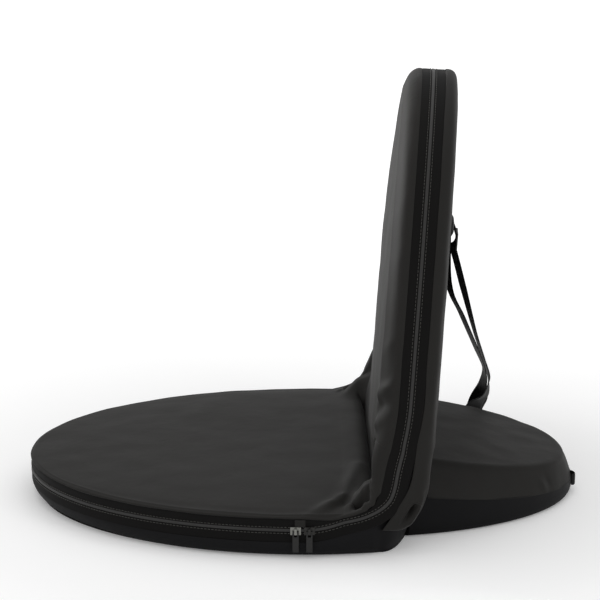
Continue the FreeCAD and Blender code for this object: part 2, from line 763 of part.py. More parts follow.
def bend_path_ring(inner, outer, x0, x1):
    # Flat ring sector and straight run that carry the zip from the seat's side to the back's edge
    start_y = bend_start_y + soft_gap
    end_y = hinge_y + back_middle * math.cos(lean) + bend_top * math.sin(lean)
    turn = math.pi / 2.0 - lean
    radius = (end_y - start_y) / math.sin(turn)
    centre = Vector(x0, start_y, zip_line + radius)
    ring = Part.makeCylinder(radius + outer, x1 - x0, centre, Vector(1, 0, 0))
    ring = ring.cut(Part.makeCylinder(radius + inner, x1 - x0, centre, Vector(1, 0, 0)))
    reach = 2.0 * radius
    corner_angle = -math.pi / 2.0 + turn
    wedge = [(start_y, centre.z), (start_y, centre.z - reach),
             (start_y + reach, centre.z - reach),
             (start_y + reach * math.cos(corner_angle), centre.z + reach * math.sin(corner_angle))]
    bent = ring.common(profile_yz(wedge, x0, x1))
    straight = leaned(box(x0, x1, back_middle + inner, back_middle + outer, 0.0, bend_top))
    above = profile_yz([(start_y, centre.z), wedge[3], (wedge[3][0], far), (start_y, far)], x0, x1)
    straight = straight.common(above)
    return bent.fuse(straight).removeSplitter()


def bend_strips(inner, outer, thickness):
    one = bend_path_ring(inner, outer, bend_side, bend_side + thickness)
    return Part.makeCompound([one, mirrored(one)])


def bend_zip():
    half = coil_width / 2.0
    inner = bend_strips(-half - tape_width, -half, tape_thickness)
    coil = bend_strips(-half, half, tape_thickness + coil_proud)
    outer = bend_strips(half, half + tape_width, tape_thickness)
    return inner, coil, outer


# Zip sliders

def around_side(shape, offset):
    # Carries a piece made at the widest point along the seat's side, on the side's own curve
    moved = shape.copy()
    angle = math.degrees(offset / side_radius)
    moved.rotate(Vector(pad_half_width - side_radius, seat_centre_y, 0), Vector(0, 0, 1), angle)
    return moved


def slider(nose_forward):
    # Slider body round the zip, cut for the coil and tapes, with an ear for the pull
    x = pad_half_width - tape_inset - tape_thickness / 2.0
    y = seat_centre_y
    half_len = slider_length / 2.0
    half_wide = slider_width / 2.0
    outer_x = x + tape_thickness / 2.0 + coil_proud + slider_room
    inner_x = x - tape_thickness / 2.0 - slider_room
    front = box(outer_x, outer_x + slider_plate, y - half_len, y + half_len, zip_line - half_wide,
                zip_line + half_wide)
    rear = box(inner_x - slider_plate, inner_x, y - half_len, y + half_len, zip_line - half_wide,
               zip_line + half_wide)
    neck_y = y + (half_len - 2.2) * nose_forward
    neck = box(inner_x - 0.1, outer_x + 0.1, neck_y - 1.4, neck_y + 1.4, zip_line - 1.0, zip_line + 1.0)
    ear_x = outer_x + slider_plate
    ear = box(ear_x - 0.1, ear_x + ear_depth, y - 1.4, y + 1.4, zip_line - ear_half, zip_line + ear_half)
    slot = box(ear_x + 0.4, ear_x + ear_depth - ear_wall + 0.2, y - 2.0, y + 2.0, zip_line - ear_half + ear_wall,
               zip_line + ear_half - ear_wall)
    return front.fuse(rear).fuse(neck).fuse(ear.cut(slot)).removeSplitter()


def slider_pull():
    # Flat pull with a round pin through the slider's ear
    r = pull_pin_radius
    pin_x = pad_half_width - tape_inset + coil_proud + slider_room + slider_plate + 0.6 + r
    y = seat_centre_y
    half = pull_width / 2.0
    pin = Part.makeCylinder(r, pull_width - r, Vector(pin_x, y - half + r / 2.0, pull_pin_z), Vector(0, 1, 0))
    arms = [box(pin_x - r, pin_x + r, y + side * (half - r) - r, y + side * (half - r) + r,
                pull_pin_z - pull_arm_drop - 1.0, pull_pin_z + r) for side in (-1.0, 1.0)]
    blade = box(pin_x - pull_thickness / 2.0, pin_x + pull_thickness / 2.0, y - half, y + half,
                pull_pin_z - pull_arm_drop - pull_length, pull_pin_z - pull_arm_drop)
    return fuse_all([pin, blade] + arms)


def zip_end_tab():
    # Small folded cloth tab over the upper tape beside the sliders
    x = pad_half_width - tape_inset + running_gap
    low = zip_line + slider_width / 2.0 + soft_gap
    start = seat_centre_y + front_slider_offset - 1.0
    return box(x, x + 1.4, start, start + tab_length, low, low + tab_height)


# Carry strap

def on_back(x, v, s):
    # Point given in upright back coordinates, as it stands in the leaned back
    return (x, hinge_y + v * math.cos(lean) + s * math.sin(lean), axis_z + s * math.cos(lean) - v * math.sin(lean))


def tail_side(y):
    # Half width of the rear pad at y
    return tail_half_width * math.sqrt(1.0 - ((y - tail_centre_y) / tail_reach) ** 2)


def tail_height(y):
    rise = (y - tail_rise_y) / (tail_tip_y - tail_rise_y)
    return tail_front_height + (tail_tip_height - tail_front_height) * rise


def hanging_point(share, behind, drop):
    # Point of the strap's free run between the slide and the rear pad's left edge
    y = hinge_y + back_rear + behind
    high = on_back(0.0, back_rear, anchor_height - buckle_drop)[2]
    low = tail_height(tail_rise_y)
    edge = -tail_side(hinge_y + back_rear + strap_side[0][1]) - strap_side[0][0]
    return anchor_x + (edge - anchor_x) * share, y, high + (low - high) * drop


def strap_stations():
    # Centre points and rough width directions, from the right patch over the rear pad and back
    over = buckle_face + buckle_bar + buckle_room
    under = buckle_face - buckle_room
    low = anchor_height - buckle_drop
    bar = buckle_bar_height
    gap = buckle_slot_height
    threaded = [(under, low + 3 * bar + 2 * gap + 7.0), (under, low + 2 * bar + 2 * gap),
                (over, low + 2 * bar + gap), (over, low + bar + gap), (under, low + bar), (under, low - 3.0)]
    right = [on_back(anchor_x, v, s) for v, s in threaded] + [hanging_point(*one) for one in strap_down]
    drop = []
    for out, behind, share in strap_side:
        y = hinge_y + back_rear + behind
        drop.append((-tail_side(y) - out, y, tail_height(y) * share))
    left = [hanging_point(*one) for one in strap_up]
    left += [on_back(-anchor_x, under + 3.5, low - 50.0), on_back(-anchor_x, under + 0.5, low),
             on_back(-anchor_x, under, anchor_height + 7.0)]
    across_x = Vector(1.0, 0.0, 0.0)
    across_y = Vector(0.25, -1.0, 0.0)
    stations = []
    free = len(threaded)
    for number, point in enumerate(right):
        blend = max(0.0, (number - free) / (len(strap_down) - 1.0))
        stations.append((Vector(*point), across_x * (1.0 - blend) + across_y * blend))
    for point in drop:
        stations.append((Vector(*point), across_y))
    for number, point in enumerate(left):
        blend = min(1.0, number / (len(strap_up) - 1.0))
        stations.append((Vector(*point), across_y * (1.0 - blend) + across_x * -blend))
    return stations


def strap_webbing():
    stations = strap_stations()
    wires = []
    length = 0.0
    for number, (point, across) in enumerate(stations):
        before = stations[max(number - 1, 0)][0]
        after = stations[min(number + 1, len(stations) - 1)][0]
        along = (after - before).normalize()
        across = (across - along * across.dot(along)).normalize() * (strap_width / 2.0)
        normal = along.cross(across).normalize() * (strap_thickness / 2.0)
        corners = [point + across + normal, point - across + normal, point - across - normal,
                   point + across - normal]
        wires.append(Part.makePolygon(corners + corners[:1]))
        length += (point - before).Length
    print("strap length", round(length, 1))
    return Part.makeLoft(wires, True, True)


def strap_patch():
    # Sewn cloth patch that holds one end of the strap to the rear of the back
    half = patch_width / 2.0
    patch = box(anchor_x - half, anchor_x + half, patch_face - patch_thickness, patch_face,
                anchor_height - patch_height / 2.0, anchor_height + patch_height / 2.0)
    return leaned(patch)


def strap_buckle():
    # Three-bar slide that the strap's right end is threaded through
    half = strap_width / 2.0 + buckle_rim + 0.5
    low = anchor_height - buckle_drop
    height = 3 * buckle_bar_height + 2 * buckle_slot_height
    frame = box(anchor_x - half, anchor_x + half, buckle_face, buckle_face + buckle_bar, low, low + height)
    for number in range(2):
        bottom = low + buckle_bar_height + number * (buckle_bar_height + buckle_slot_height)
        frame = frame.cut(box(anchor_x - half + buckle_rim, anchor_x + half - buckle_rim, 0.0, far, bottom,
                              bottom + buckle_slot_height))
    return leaned(frame)


def build():
    export("seat_foam", seat_foam())
    export("seat_cover_bottom", seat_cover_bottom())
    export("seat_cover_top", seat_cover_top())
    lower, upper, coil_front, coil_rear = seat_zip()
    export("seat_zip_tape_lower", lower)
    export("seat_zip_tape_upper", upper)
    export("seat_zip_coil_front", coil_front)
    export("seat_zip_coil_rear", coil_rear)

    foam, top, bottom = tail_pad()
    export("tail_foam", foam)
    export("tail_cover_top", top)
    export("tail_cover_bottom", bottom)
    export("tail_tag", tail_tag())

    export("seat_frame_tube", seat_frame_tube())
    export("seat_cross_tube", seat_cross_tube())
    export("back_frame_tube", back_frame_tube())
    export("back_cross_tube", back_cross_tube())
    export("seat_rivets", seat_rivets())
    export("back_rivets", back_rivets())

    spring, stud = pawl_spring()
    sided = {"hinge_seat_plate": hinge_seat_plate(), "hinge_pin": hinge_pin(),
             "hinge_back_arm": hinge_back_arm().fuse(stud).removeSplitter(),
             "pawl": pawl(), "pawl_pin": pawl_pin(), "pawl_spring": spring, "strap_patch": strap_patch()}
    for name, shape in sided.items():
        export(name + "_right", shape)
        export(name + "_left", mirrored(shape))

    export("back_foam", back_foam())
    front, rear = back_covers()
    export("back_cover_front", front)
    export("back_cover_rear", rear)
    tape_front, tape_rear, coil = back_zip()
    export("back_zip_tape_front", tape_front)
    export("back_zip_tape_rear", tape_rear)
    export("back_zip_coil", coil)

    export("bend_foam", bend_foam())
    export("bend_cover_rear", bend_cover_rear())
    export("bend_cover_front", bend_cover_front())
    inner, coil, outer = bend_zip()
    export("bend_zip_tape_inner", inner)
    export("bend_zip_coil", coil)
    export("bend_zip_tape_outer", outer)

    rear_offset = front_slider_offset + slider_spacing
    export("zip_slider_front", around_side(slider(1.0), front_slider_offset))
    export("zip_slider_rear", around_side(slider(-1.0), rear_offset))
    export("zip_pull_front", around_side(slider_pull(), front_slider_offset))
    export("zip_pull_rear", around_side(slider_pull(), rear_offset))
    export("zip_end_tab", zip_end_tab())

    export("strap_webbing", strap_webbing())
    export("strap_buckle", strap_buckle())


build()
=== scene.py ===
import bpy
import bmesh
import math
from mathutils import Matrix, Vector, noise


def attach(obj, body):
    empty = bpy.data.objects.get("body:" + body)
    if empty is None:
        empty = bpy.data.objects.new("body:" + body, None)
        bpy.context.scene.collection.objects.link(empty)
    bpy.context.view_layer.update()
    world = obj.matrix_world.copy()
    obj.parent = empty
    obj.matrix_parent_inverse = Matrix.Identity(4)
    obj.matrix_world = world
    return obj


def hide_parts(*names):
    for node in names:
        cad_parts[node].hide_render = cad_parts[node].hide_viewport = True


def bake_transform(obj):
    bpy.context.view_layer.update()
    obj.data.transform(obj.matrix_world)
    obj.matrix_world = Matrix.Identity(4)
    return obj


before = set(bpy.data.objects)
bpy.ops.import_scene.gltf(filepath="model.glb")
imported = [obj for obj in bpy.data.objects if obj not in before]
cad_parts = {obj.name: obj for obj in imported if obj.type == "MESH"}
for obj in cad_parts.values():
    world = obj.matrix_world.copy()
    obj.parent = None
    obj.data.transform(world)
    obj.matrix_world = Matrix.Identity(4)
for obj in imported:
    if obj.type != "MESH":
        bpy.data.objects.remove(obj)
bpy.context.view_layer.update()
print("frame loaded")

# Lengths are metres. +Z is up and the front of the seat faces -Y.
# The zip line is the spine of the whole cover: it runs round the seat, up the bend and round the back.
seat = {"centreY": 0.01035, "reach": 0.346, "halfWidth": 0.25, "zipZ": 0.0336, "rim": 0.0506, "crown": 0.0060}
back = {"hingeY": 0.08835, "axisZ": 0.056, "lean": math.radians(3.75), "ovalS": 0.0725, "reach": 0.395,
        "halfWidth": 0.25, "zipV": 0.0369, "frontCrown": 0.0142, "front": 0.0049, "rear": 0.067,
        "twist": 0.057, "twistStart": 0.05, "twistSpan": 0.09}
bend = {"seatAngle": 95.95, "backAngle": 90.36, "seatHalf": 0.24865, "waist": 0.2455, "backHalf": 0.24971,
        "zipV": 0.0312, "seatSlant": 0.1037, "backSlant": 0.0481,
        "path": [(0.0462, 0.0426), (0.0639, 0.0463), (0.0796, 0.0523), (0.0918, 0.0600), (0.1002, 0.0690),
                 (0.1073, 0.0832), (0.1134, 0.0986), (0.1194, 0.1128), (0.12405, 0.12380)]}
tape = {"wide": 0.0140, "narrow": 0.0062, "below": 0.0150}
rowsOf = {"seat": 84, "bend": 50, "back": 90}
rowCount = rowsOf["seat"] + rowsOf["bend"] + rowsOf["back"]
across = 84


def smooth(f):
    f = min(max(f, 0.0), 1.0)
    return f * f * (3.0 - 2.0 * f)


def mix(a, b, f):
    return a + (b - a) * f


def onBack(x, v, s):
    # v runs rearward from the hinge axis and s runs up the back
    c, n = math.cos(back["lean"]), math.sin(back["lean"])
    return Vector((x, back["hingeY"] + v * c + s * n, back["axisZ"] + s * c - v * n))


def twisted(p):
    # The back stands a little turned about the upright, as the soft bend lets it
    turned = smooth((p.z - back["twistStart"]) / back["twistSpan"])
    return Vector((p.x, p.y - back["twist"] * p.x * turned, p.z))


def curveSpan(points, f):
    # Which span of the polyline the fraction f of its length falls in, and how far along that span
    lengths = [0.0]
    for a, b in zip(points, points[1:]):
        lengths.append(lengths[-1] + (Vector(b) - Vector(a)).length)
    want = min(max(f, 0.0), 1.0) * lengths[-1]
    i = max(n for n in range(len(points) - 1) if lengths[n] <= want + 1e-9)
    return i, (want - lengths[i]) / (lengths[i + 1] - lengths[i])


def alongPath(points, f):
    # Smooth curve through the points, by the fraction of its length
    i, h = curveSpan(points, f)
    q = [Vector(points[min(max(i + k, 0), len(points) - 1)]) for k in (-1, 0, 1, 2)]
    return 0.5 * ((2 * q[1]) + (q[2] - q[0]) * h + (2 * q[0] - 5 * q[1] + 4 * q[2] - q[3]) * h * h
                  + (3 * q[1] - q[0] - 3 * q[2] + q[3]) * h ** 3)


def rowPlace(row):
    # Which part of the cover a row lies in, and how far along that part
    if row <= rowsOf["seat"]:
        return "seat", row / rowsOf["seat"]
    if row <= rowsOf["seat"] + rowsOf["bend"]:
        return "bend", (row - rowsOf["seat"]) / rowsOf["bend"]
    return "back", (row - rowsOf["seat"] - rowsOf["bend"]) / rowsOf["back"]


def seatAngle(f):
    return math.radians(mix(2.5, bend["seatAngle"], f))


def backAngle(f):
    return math.radians(mix(bend["backAngle"], 2.5, f))


def spread(u):
    # Packs the columns closer toward the cover's edges
    return math.copysign(1.0 - (1.0 - abs(u)) ** 1.5, u)


def zipRise(y):
    return 0.0090 * (max(y - 0.004, 0.0) / 0.0422) ** 1.7


def zipDepth(s):
    return mix(back["zipV"], bend["zipV"], (1.0 - min(max(s - 0.070, 0.0) / 0.060, 1.0)) ** 2)


def tapeTop(row):
    # How far the upper tape shows above the zip line; the corner's pleats cover part of it
    part, f = rowPlace(row)
    if part == "seat":
        y = seat["centreY"] - seat["reach"] * math.cos(seatAngle(f))
        return mix(tape["wide"], tape["narrow"], smooth((y - 0.002) / 0.044))
    if part == "bend":
        return mix(tape["narrow"], tape["wide"], smooth((f - 0.22) / 0.3))
    return tape["wide"]


def rimPoint(u, row, inset, up):
    # Point of the cover's edge: inset inward from the oval, up from the zip line toward the cushion's face
    part, f = rowPlace(row)
    side = 1.0 if u >= 0 else -1.0
    if part == "seat":
        a = seatAngle(f)
        if row == 0:
            a = math.asin(abs(u) * math.sin(a))
        y = seat["centreY"] - (seat["reach"] - inset) * math.cos(a)
        tilt = (zipRise(y + 0.001) - zipRise(y - 0.001)) / 0.002
        z = seat["zipZ"] + zipRise(y) + up * (1.0 - 0.5 * tilt * tilt)
        return Vector((side * (seat["halfWidth"] - inset) * math.sin(a), y - up * tilt, z))
    if part == "back":
        a = backAngle(f)
        if row == rowCount:
            a = math.asin(abs(u) * math.sin(a))
        s = back["ovalS"] + (back["reach"] - inset) * math.cos(a)
        return onBack(side * (back["halfWidth"] - inset) * math.sin(a), zipDepth(s) - up, s)
    p = alongPath(bend["path"], f)
    ahead, behind = alongPath(bend["path"], min(f + 0.02, 1.0)), alongPath(bend["path"], max(f - 0.02, 0.0))
    step = (ahead - behind).normalized()
    halfWide = mix(mix(bend["seatHalf"], bend["backHalf"], f), bend["waist"], math.sin(math.pi * f) ** 1.5)
    y = p.x - step.y * up + inset * bend["seatSlant"] * (1 - f)
    z = p.y + step.x * up + inset * bend["backSlant"] * f
    return Vector((side * (halfWide - inset), y, z))


def faceUp(part, f):
    # How far the section has changed from the seat's to the back's
    return {"seat": 0.0, "bend": smooth(f), "back": 1.0}[part]


def seatTop(x, y):
    r = math.hypot(x / seat["halfWidth"], (y - seat["centreY"]) / seat["reach"])
    e = min(max(1.0 - r, 0.0) / 0.55, 1.0)
    return seat["rim"] + seat["crown"] * (1.0 - (1.0 - e) ** 2.4)


def backFace(x, s):
    r = math.hypot(x / back["halfWidth"], (s - back["ovalS"]) / back["reach"])
    e = min(max(1.0 - r, 0.0) / 0.6, 1.0)
    return back["front"] + 0.0004 - back["frontCrown"] * (1.0 - (1.0 - e) ** 2.2)


# Cushion face: seat top, crease and the front of the back in one cloth. Ring pairs are inset and rise; the
# seat's rise starts at the tape's top edge and the back's at the zip line.
faceCloth = {"seatEdge": 0.0048, "backEdge": 0.024,
             "seatRings": [(0.0030, 0.0023), (0.0016, 0.0020), (0.0006, 0.0014),
                           (0.0001, 0.0006), (0.0003, 0.0000), (0.0014, -0.0006)],
             "backRings": [(0.0150, 0.0316), (0.0085, 0.0288), (0.0040, 0.0248),
                           (0.0014, 0.0205), (0.0003, 0.0165), (0.0012, 0.0134)]}
# Sections of the crease as (y, z): valley between the hinges, pit beside them and dome over them. Each of the
# last two takes over from its own x outward, and the cover's edge from edgeX.
crease = {"domeX": 0.172, "domeBlend": 0.030, "pitX": 0.2185, "pitBlend": 0.006, "edgeX": 0.234,
          "leastReach": 0.0005, "start": 0.0462, "end": 0.070}
valleyPath = [(0.0462, 0.0540), (0.0600, 0.0558), (0.0710, 0.0560), (0.0785, 0.0530), (0.0815, 0.0460),
              (0.0832, 0.0400), (0.0842, 0.0440), (0.0850, 0.0560), (0.0858, 0.0760), (0.0872, 0.0990),
              (0.0885, 0.1260)]
pitPath = [(0.0462, 0.0550), (0.0530, 0.0580), (0.0570, 0.0560), (0.0600, 0.0440), (0.0640, 0.0350),
           (0.0700, 0.0360), (0.0728, 0.0500), (0.0745, 0.0680), (0.0800, 0.0760), (0.0870, 0.0820),
           (0.0920, 0.0910), (0.0945, 0.1010), (0.0965, 0.1120), (0.0975, 0.1255)]
domePath = [(0.0462, 0.0540), (0.0560, 0.0575), (0.0650, 0.0670), (0.0720, 0.0750), (0.0800, 0.0785),
            (0.0880, 0.0830), (0.0920, 0.0910), (0.0945, 0.1010), (0.0965, 0.1120), (0.0975, 0.1255)]


def faceEdge(u, row, ring=None):
    part, f = rowPlace(row)
    m = faceUp(part, f)
    if ring is not None:
        a, b = faceCloth["seatRings"][ring], faceCloth["backRings"][ring]
        return rimPoint(u, row, mix(a[0], b[0], m), mix(tapeTop(row) + a[1], b[1], m))
    inset = mix(faceCloth["seatEdge"], faceCloth["backEdge"], m)
    if part == "seat":
        p = rimPoint(u, row, inset, 0.0)
        return Vector((p.x, p.y, max(seatTop(p.x, p.y), p.z + tapeTop(row) + 0.0022)))
    if part == "back":
        a = backAngle(f)
        if row == rowCount:
            a = math.asin(abs(u) * math.sin(a))
        s = back["ovalS"] + (back["reach"] - inset) * math.cos(a)
        x = math.copysign((back["halfWidth"] - inset) * math.sin(a), u)
        return onBack(x, backFace(x, s), s)
    return rimPoint(u, row, inset, mix(tapeTop(row) + 0.0024, bend["zipV"] - backFace(0.226, 0.070), m))


def facePoint(u, row):
    part, f = rowPlace(row)
    edge = faceEdge(u, row) if row in (0, rowCount) else faceEdge(math.copysign(1.0, u), row)
    if row in (0, rowCount) or abs(u) > 0.9999:
        return edge
    x = abs(edge.x) * u
    if part == "seat":
        w = smooth((abs(u) - 0.93) / 0.07)
        return Vector((x, edge.y, mix(seatTop(x, edge.y), edge.z, w)))
    if part == "back":
        s = back["ovalS"] + (back["reach"] - faceCloth["backEdge"]) * math.cos(backAngle(f))
        return onBack(x, backFace(x, s), s)
    low, high = alongPath(valleyPath, f), alongPath(domePath, f)
    c = low.lerp(high, smooth((abs(x) - crease["domeX"]) / crease["domeBlend"]))
    c = c.lerp(alongPath(pitPath, f), smooth((abs(x) - crease["pitX"]) / crease["pitBlend"]))
    start, end = seatTop(x, crease["start"]), onBack(x, backFace(x, crease["end"]), crease["end"])
    c = Vector((x, c.x, c.y + mix(start - valleyPath[0][1], 0.0, smooth(f * 2.0))))
    c = c.lerp(Vector((x, end.y, end.z)), smooth((f - 0.72) / 0.28))
    reach = abs(edge.x) - crease["edgeX"]
    w = smooth((abs(x) - crease["edgeX"]) / reach) if reach > crease["leastReach"] else 0.0
    w = max(w, smooth((abs(u) - 0.93) / 0.07))
    return Vector((x, mix(c.y, edge.y, w), mix(c.z, edge.z, w)))


def gridPiece(columns, rows, place, rings=()):
    # A grid mapped by place(u, row); each ring then carries its border on to ringPlace(u, row)
    bm = bmesh.new()
    bmesh.ops.create_grid(bm, x_segments=columns, y_segments=rows, size=1.0)
    where = bm.verts.layers.float_vector.new("where")
    for v in bm.verts:
        u, row = spread(v.co.x), round((v.co.y + 1.0) / 2.0 * rows)
        v[where] = Vector((u, row, 0.0))
        v.co = place(u, row)
    border = [e for e in bm.edges if e.is_boundary]
    for ringPlace in rings:
        grown = bmesh.ops.extrude_edge_only(bm, edges=border)["geom"]
        for v in (g for g in grown if isinstance(g, bmesh.types.BMVert)):
            v.co = ringPlace(v[where].x, round(v[where].y))
        border = [g for g in grown if isinstance(g, bmesh.types.BMEdge) and g.is_boundary]
    return bm


def finished(bm, name, material, smoothing=1, thickness=0.0):
    # Closes the mesh work and adds the object with its material and modifiers
    bmesh.ops.remove_doubles(bm, verts=bm.verts, dist=0.00002)
    bmesh.ops.recalc_face_normals(bm, faces=bm.faces)
    mesh = bpy.data.meshes.new(name)
    bm.to_mesh(mesh)
    bm.free()
    for p in mesh.polygons:
        p.use_smooth = True
    piece = bpy.data.objects.new(name, mesh)
    bpy.context.scene.collection.objects.link(piece)
    mesh.materials.append(material)
    if thickness:
        solid = piece.modifiers.new("cloth thickness", "SOLIDIFY")
        solid.thickness, solid.offset = thickness, -1.0
    if smoothing:
        sub = piece.modifiers.new("smooth", "SUBSURF")
        sub.levels = sub.render_levels = smoothing
    return piece


def ringFunctions(count, edge):
    # One place function for each ring of the edge
    return [lambda u, row, k=k: edge(u, row, k) for k in range(count)]


def shapeVerts(bm, change):
    for v in bm.verts:
        v.co = change(v.co)


# Materials
def linear(hexColour):
    channels = [int(hexColour[i:i + 2], 16) / 255.0 for i in (1, 3, 5)]
    return tuple(c / 12.92 if c <= 0.04045 else ((c + 0.055) / 1.055) ** 2.4 for c in channels) + (1.0,)


def addNode(material, kind, values=None, links=None, **settings):
    # One node, its plain settings, its socket values and its incoming links
    node = material.node_tree.nodes.new(kind)
    for key, value in settings.items():
        setattr(node, key, value)
    for key, value in (values or {}).items():
        node.inputs[key].default_value = value
    for key, source in (links or {}).items():
        material.node_tree.links.new(source, node.inputs[key])
    return node


def startMaterial(name, values):
    material = bpy.data.materials.new(name)
    material.use_nodes = True
    shader = material.node_tree.nodes["Principled BSDF"]
    for key, value in values.items():
        shader.inputs[key].default_value = value
    place = addNode(material, "ShaderNodeTexCoord").outputs["Object"]
    return material, shader, place


def mixColours(material, factor, dark, light):
    node = addNode(material, "ShaderNodeMix", data_type="RGBA")
    material.node_tree.links.new(factor, node.inputs["Factor"])
    node.inputs["A"].default_value, node.inputs["B"].default_value = linear(dark), linear(light)
    return node.outputs["Result"]


def wovenCloth(name, dark, light, pitch, values, creaseSize=0.02, creaseDepth=0.0012, weaveDepth=0.00006):
    # Plain woven cloth: fine warp and weft, faint slubs, and soft rumples a few centimetres long
    material, shader, place = startMaterial(name, values)
    link = material.node_tree.links.new
    blotch = addNode(material, "ShaderNodeTexNoise", {"Scale": 14.0, "Detail": 5.0, "Roughness": 0.6},
                     {"Vector": place})
    link(mixColours(material, blotch.outputs["Fac"], dark, light), shader.inputs["Base Color"])
    bands = {"Scale": 1.0 / pitch / 6.283, "Distortion": 0.6, "Detail": 1.0}
    threads = [addNode(material, "ShaderNodeTexWave", bands, {"Vector": place}, wave_type="BANDS",
                       bands_direction=axis).outputs["Fac"] for axis in ("X", "Y", "Z")]
    pair = addNode(material, "ShaderNodeMath", links={0: threads[0], 1: threads[1]}, operation="MULTIPLY")
    weave = addNode(material, "ShaderNodeMath", links={0: pair.outputs[0], 1: threads[2]}, operation="ADD")
    fine = addNode(material, "ShaderNodeBump", {"Strength": 0.35, "Distance": weaveDepth},
                   {"Height": weave.outputs[0]})
    rumple = addNode(material, "ShaderNodeTexNoise", {"Scale": 1.0 / creaseSize, "Detail": 3.0,
                     "Roughness": 0.45, "Distortion": 0.4}, {"Vector": place})
    soft = addNode(material, "ShaderNodeBump", {"Strength": 0.35, "Distance": creaseDepth},
                   {"Height": rumple.outputs["Fac"], "Normal": fine.outputs["Normal"]})
    link(soft.outputs["Normal"], shader.inputs["Normal"])
    rough = addNode(material, "ShaderNodeMapRange", {"To Min": values["Roughness"] - 0.05,
                    "To Max": values["Roughness"] + 0.06}, {"Value": blotch.outputs["Fac"]})
    link(rough.outputs["Result"], shader.inputs["Roughness"])
    return material


def plasticOrMetal(name, dark, light, values, grain=900.0, depth=0.00004):
    # Moulded or plated surface with fine grain and slight wear
    material, shader, place = startMaterial(name, values)
    link = material.node_tree.links.new
    wear = addNode(material, "ShaderNodeTexNoise", {"Scale": 160.0, "Detail": 6.0}, {"Vector": place})
    link(mixColours(material, wear.outputs["Fac"], dark, light), shader.inputs["Base Color"])
    fine = addNode(material, "ShaderNodeTexNoise", {"Scale": grain, "Detail": 2.0}, {"Vector": place})
    bump = addNode(material, "ShaderNodeBump", {"Strength": 0.3, "Distance": depth},
                   {"Height": fine.outputs["Fac"]})
    link(bump.outputs["Normal"], shader.inputs["Normal"])
    rough = addNode(material, "ShaderNodeMapRange", {"To Min": values["Roughness"] - 0.06,
                    "To Max": values["Roughness"] + 0.08}, {"Value": wear.outputs["Fac"]})
    link(rough.outputs["Result"], shader.inputs["Roughness"])
    return material


finishes = {
    # Dark grey satin polyester: a broad soft sheen that lifts to mid grey where it is seen edge on
    "greyCloth": wovenCloth("grey satin polyester", "#1e1d1c", "#252422", 0.0006,
                            {"Roughness": 0.62, "IOR": 1.45, "Specular IOR Level": 0.16, "Sheen Weight": 0.04,
                             "Sheen Roughness": 0.4}),
    # Black polyester with a cool cast, duller than the grey
    "blackCloth": wovenCloth("black polyester", "#0c0c0d", "#111113", 0.0007,
                             {"Roughness": 0.62, "IOR": 1.45, "Specular IOR Level": 0.15,
                              "Sheen Weight": 0.02, "Sheen Roughness": 0.5}),
    # Zip tape: dull warm black
    "zipTape": wovenCloth("black zip tape", "#0b0a0a", "#0f0e0d", 0.0009,
                          {"Roughness": 0.7, "IOR": 1.45, "Specular IOR Level": 0.12, "Sheen Weight": 0.02},
                          creaseDepth=0.0004),
    # Nylon coil and sewing thread: small glints on black
    "zipNylon": plasticOrMetal("black zip nylon", "#131211", "#1e1d1b", {"Roughness": 0.5, "IOR": 1.5}),
    "thread": plasticOrMetal("dark grey thread", "#2a2926", "#3a3934", {"Roughness": 0.5, "IOR": 1.53}),
    # Ribbed polypropylene webbing, deep black
    "webbing": wovenCloth("black webbing", "#0b0b0c", "#141415", 0.0016,
                          {"Roughness": 0.55, "IOR": 1.45, "Specular IOR Level": 0.2}, creaseDepth=0.0002,
                          weaveDepth=0.0003),
    # Plated slider: a small soft highlight, paler than all that lies round it
    "sliderSilver": plasticOrMetal("satin nickel", "#70706c", "#969690",
                                   {"Roughness": 0.36, "Metallic": 0.8}),
    "sliderDark": plasticOrMetal("black plated zinc", "#161514", "#2b2a27",
                                 {"Roughness": 0.42, "Metallic": 0.3}),
    # Zip pulls: the rear slider's black zinc painted darker, as painted shade for the shadow they hang in
    # below the seat's edge
    "pullZincPaintedShade": plasticOrMetal("black zinc with painted shade", "#0e0e0d", "#181716", {"Roughness": 0.5, "Metallic": 0.1}),
    # Moulded slide of the strap: plain black with a slight gloss
    "buckleNylon": plasticOrMetal("black moulded nylon", "#0e0e0f", "#18181a",
                                  {"Roughness": 0.42, "IOR": 1.53}),
    "tubeSteel": plasticOrMetal("black powder coat", "#141414", "#1f1f1f", {"Roughness": 0.45, "IOR": 1.5},
                                grain=500.0, depth=0.0001),
    "hingeSteel": plasticOrMetal("zinc plated steel", "#7d7d79", "#9a9a95",
                                 {"Roughness": 0.34, "Metallic": 1.0}),
}
print("materials ready")


def dressed(piece, body, replaced=()):
    if body:
        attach(piece, body)
    if replaced:
        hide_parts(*replaced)
    return piece


def acrossBend(piece, replaced=()):
    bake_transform(piece)
    if replaced:
        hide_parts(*replaced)
    return piece


# Cushion face
def foldShape(p, normal, folds):
    # Pushes a point along its normal by every fold that passes near it
    push = 0.0
    for start, end, width, height in folds:
        a, b = Vector(start), Vector(end)
        f = min(max((p - a).dot(b - a) / (b - a).length_squared, 0.0), 1.0)
        d = (p - mix(a, b, f)).length
        if d < width * 3.0:
            taper = 0.35 + 0.65 * math.sin(math.pi * (0.15 + 0.7 * f))
            push += height * math.exp(-(d / width) ** 2) * taper
    return p + normal * push


def foldPiece(bm, folds):
    bm.normal_update()
    moved = [(v, foldShape(v.co.copy(), v.normal.copy(), folds)) for v in bm.verts]
    for v, p in moved:
        v.co = p


def softenPiece(bm, height, size):
    # Gentle unevenness of stuffed cloth
    bm.normal_update()
    moved = [(v, v.co + v.normal * height * noise.noise(v.co / size)) for v in bm.verts]
    for v, p in moved:
        v.co = p


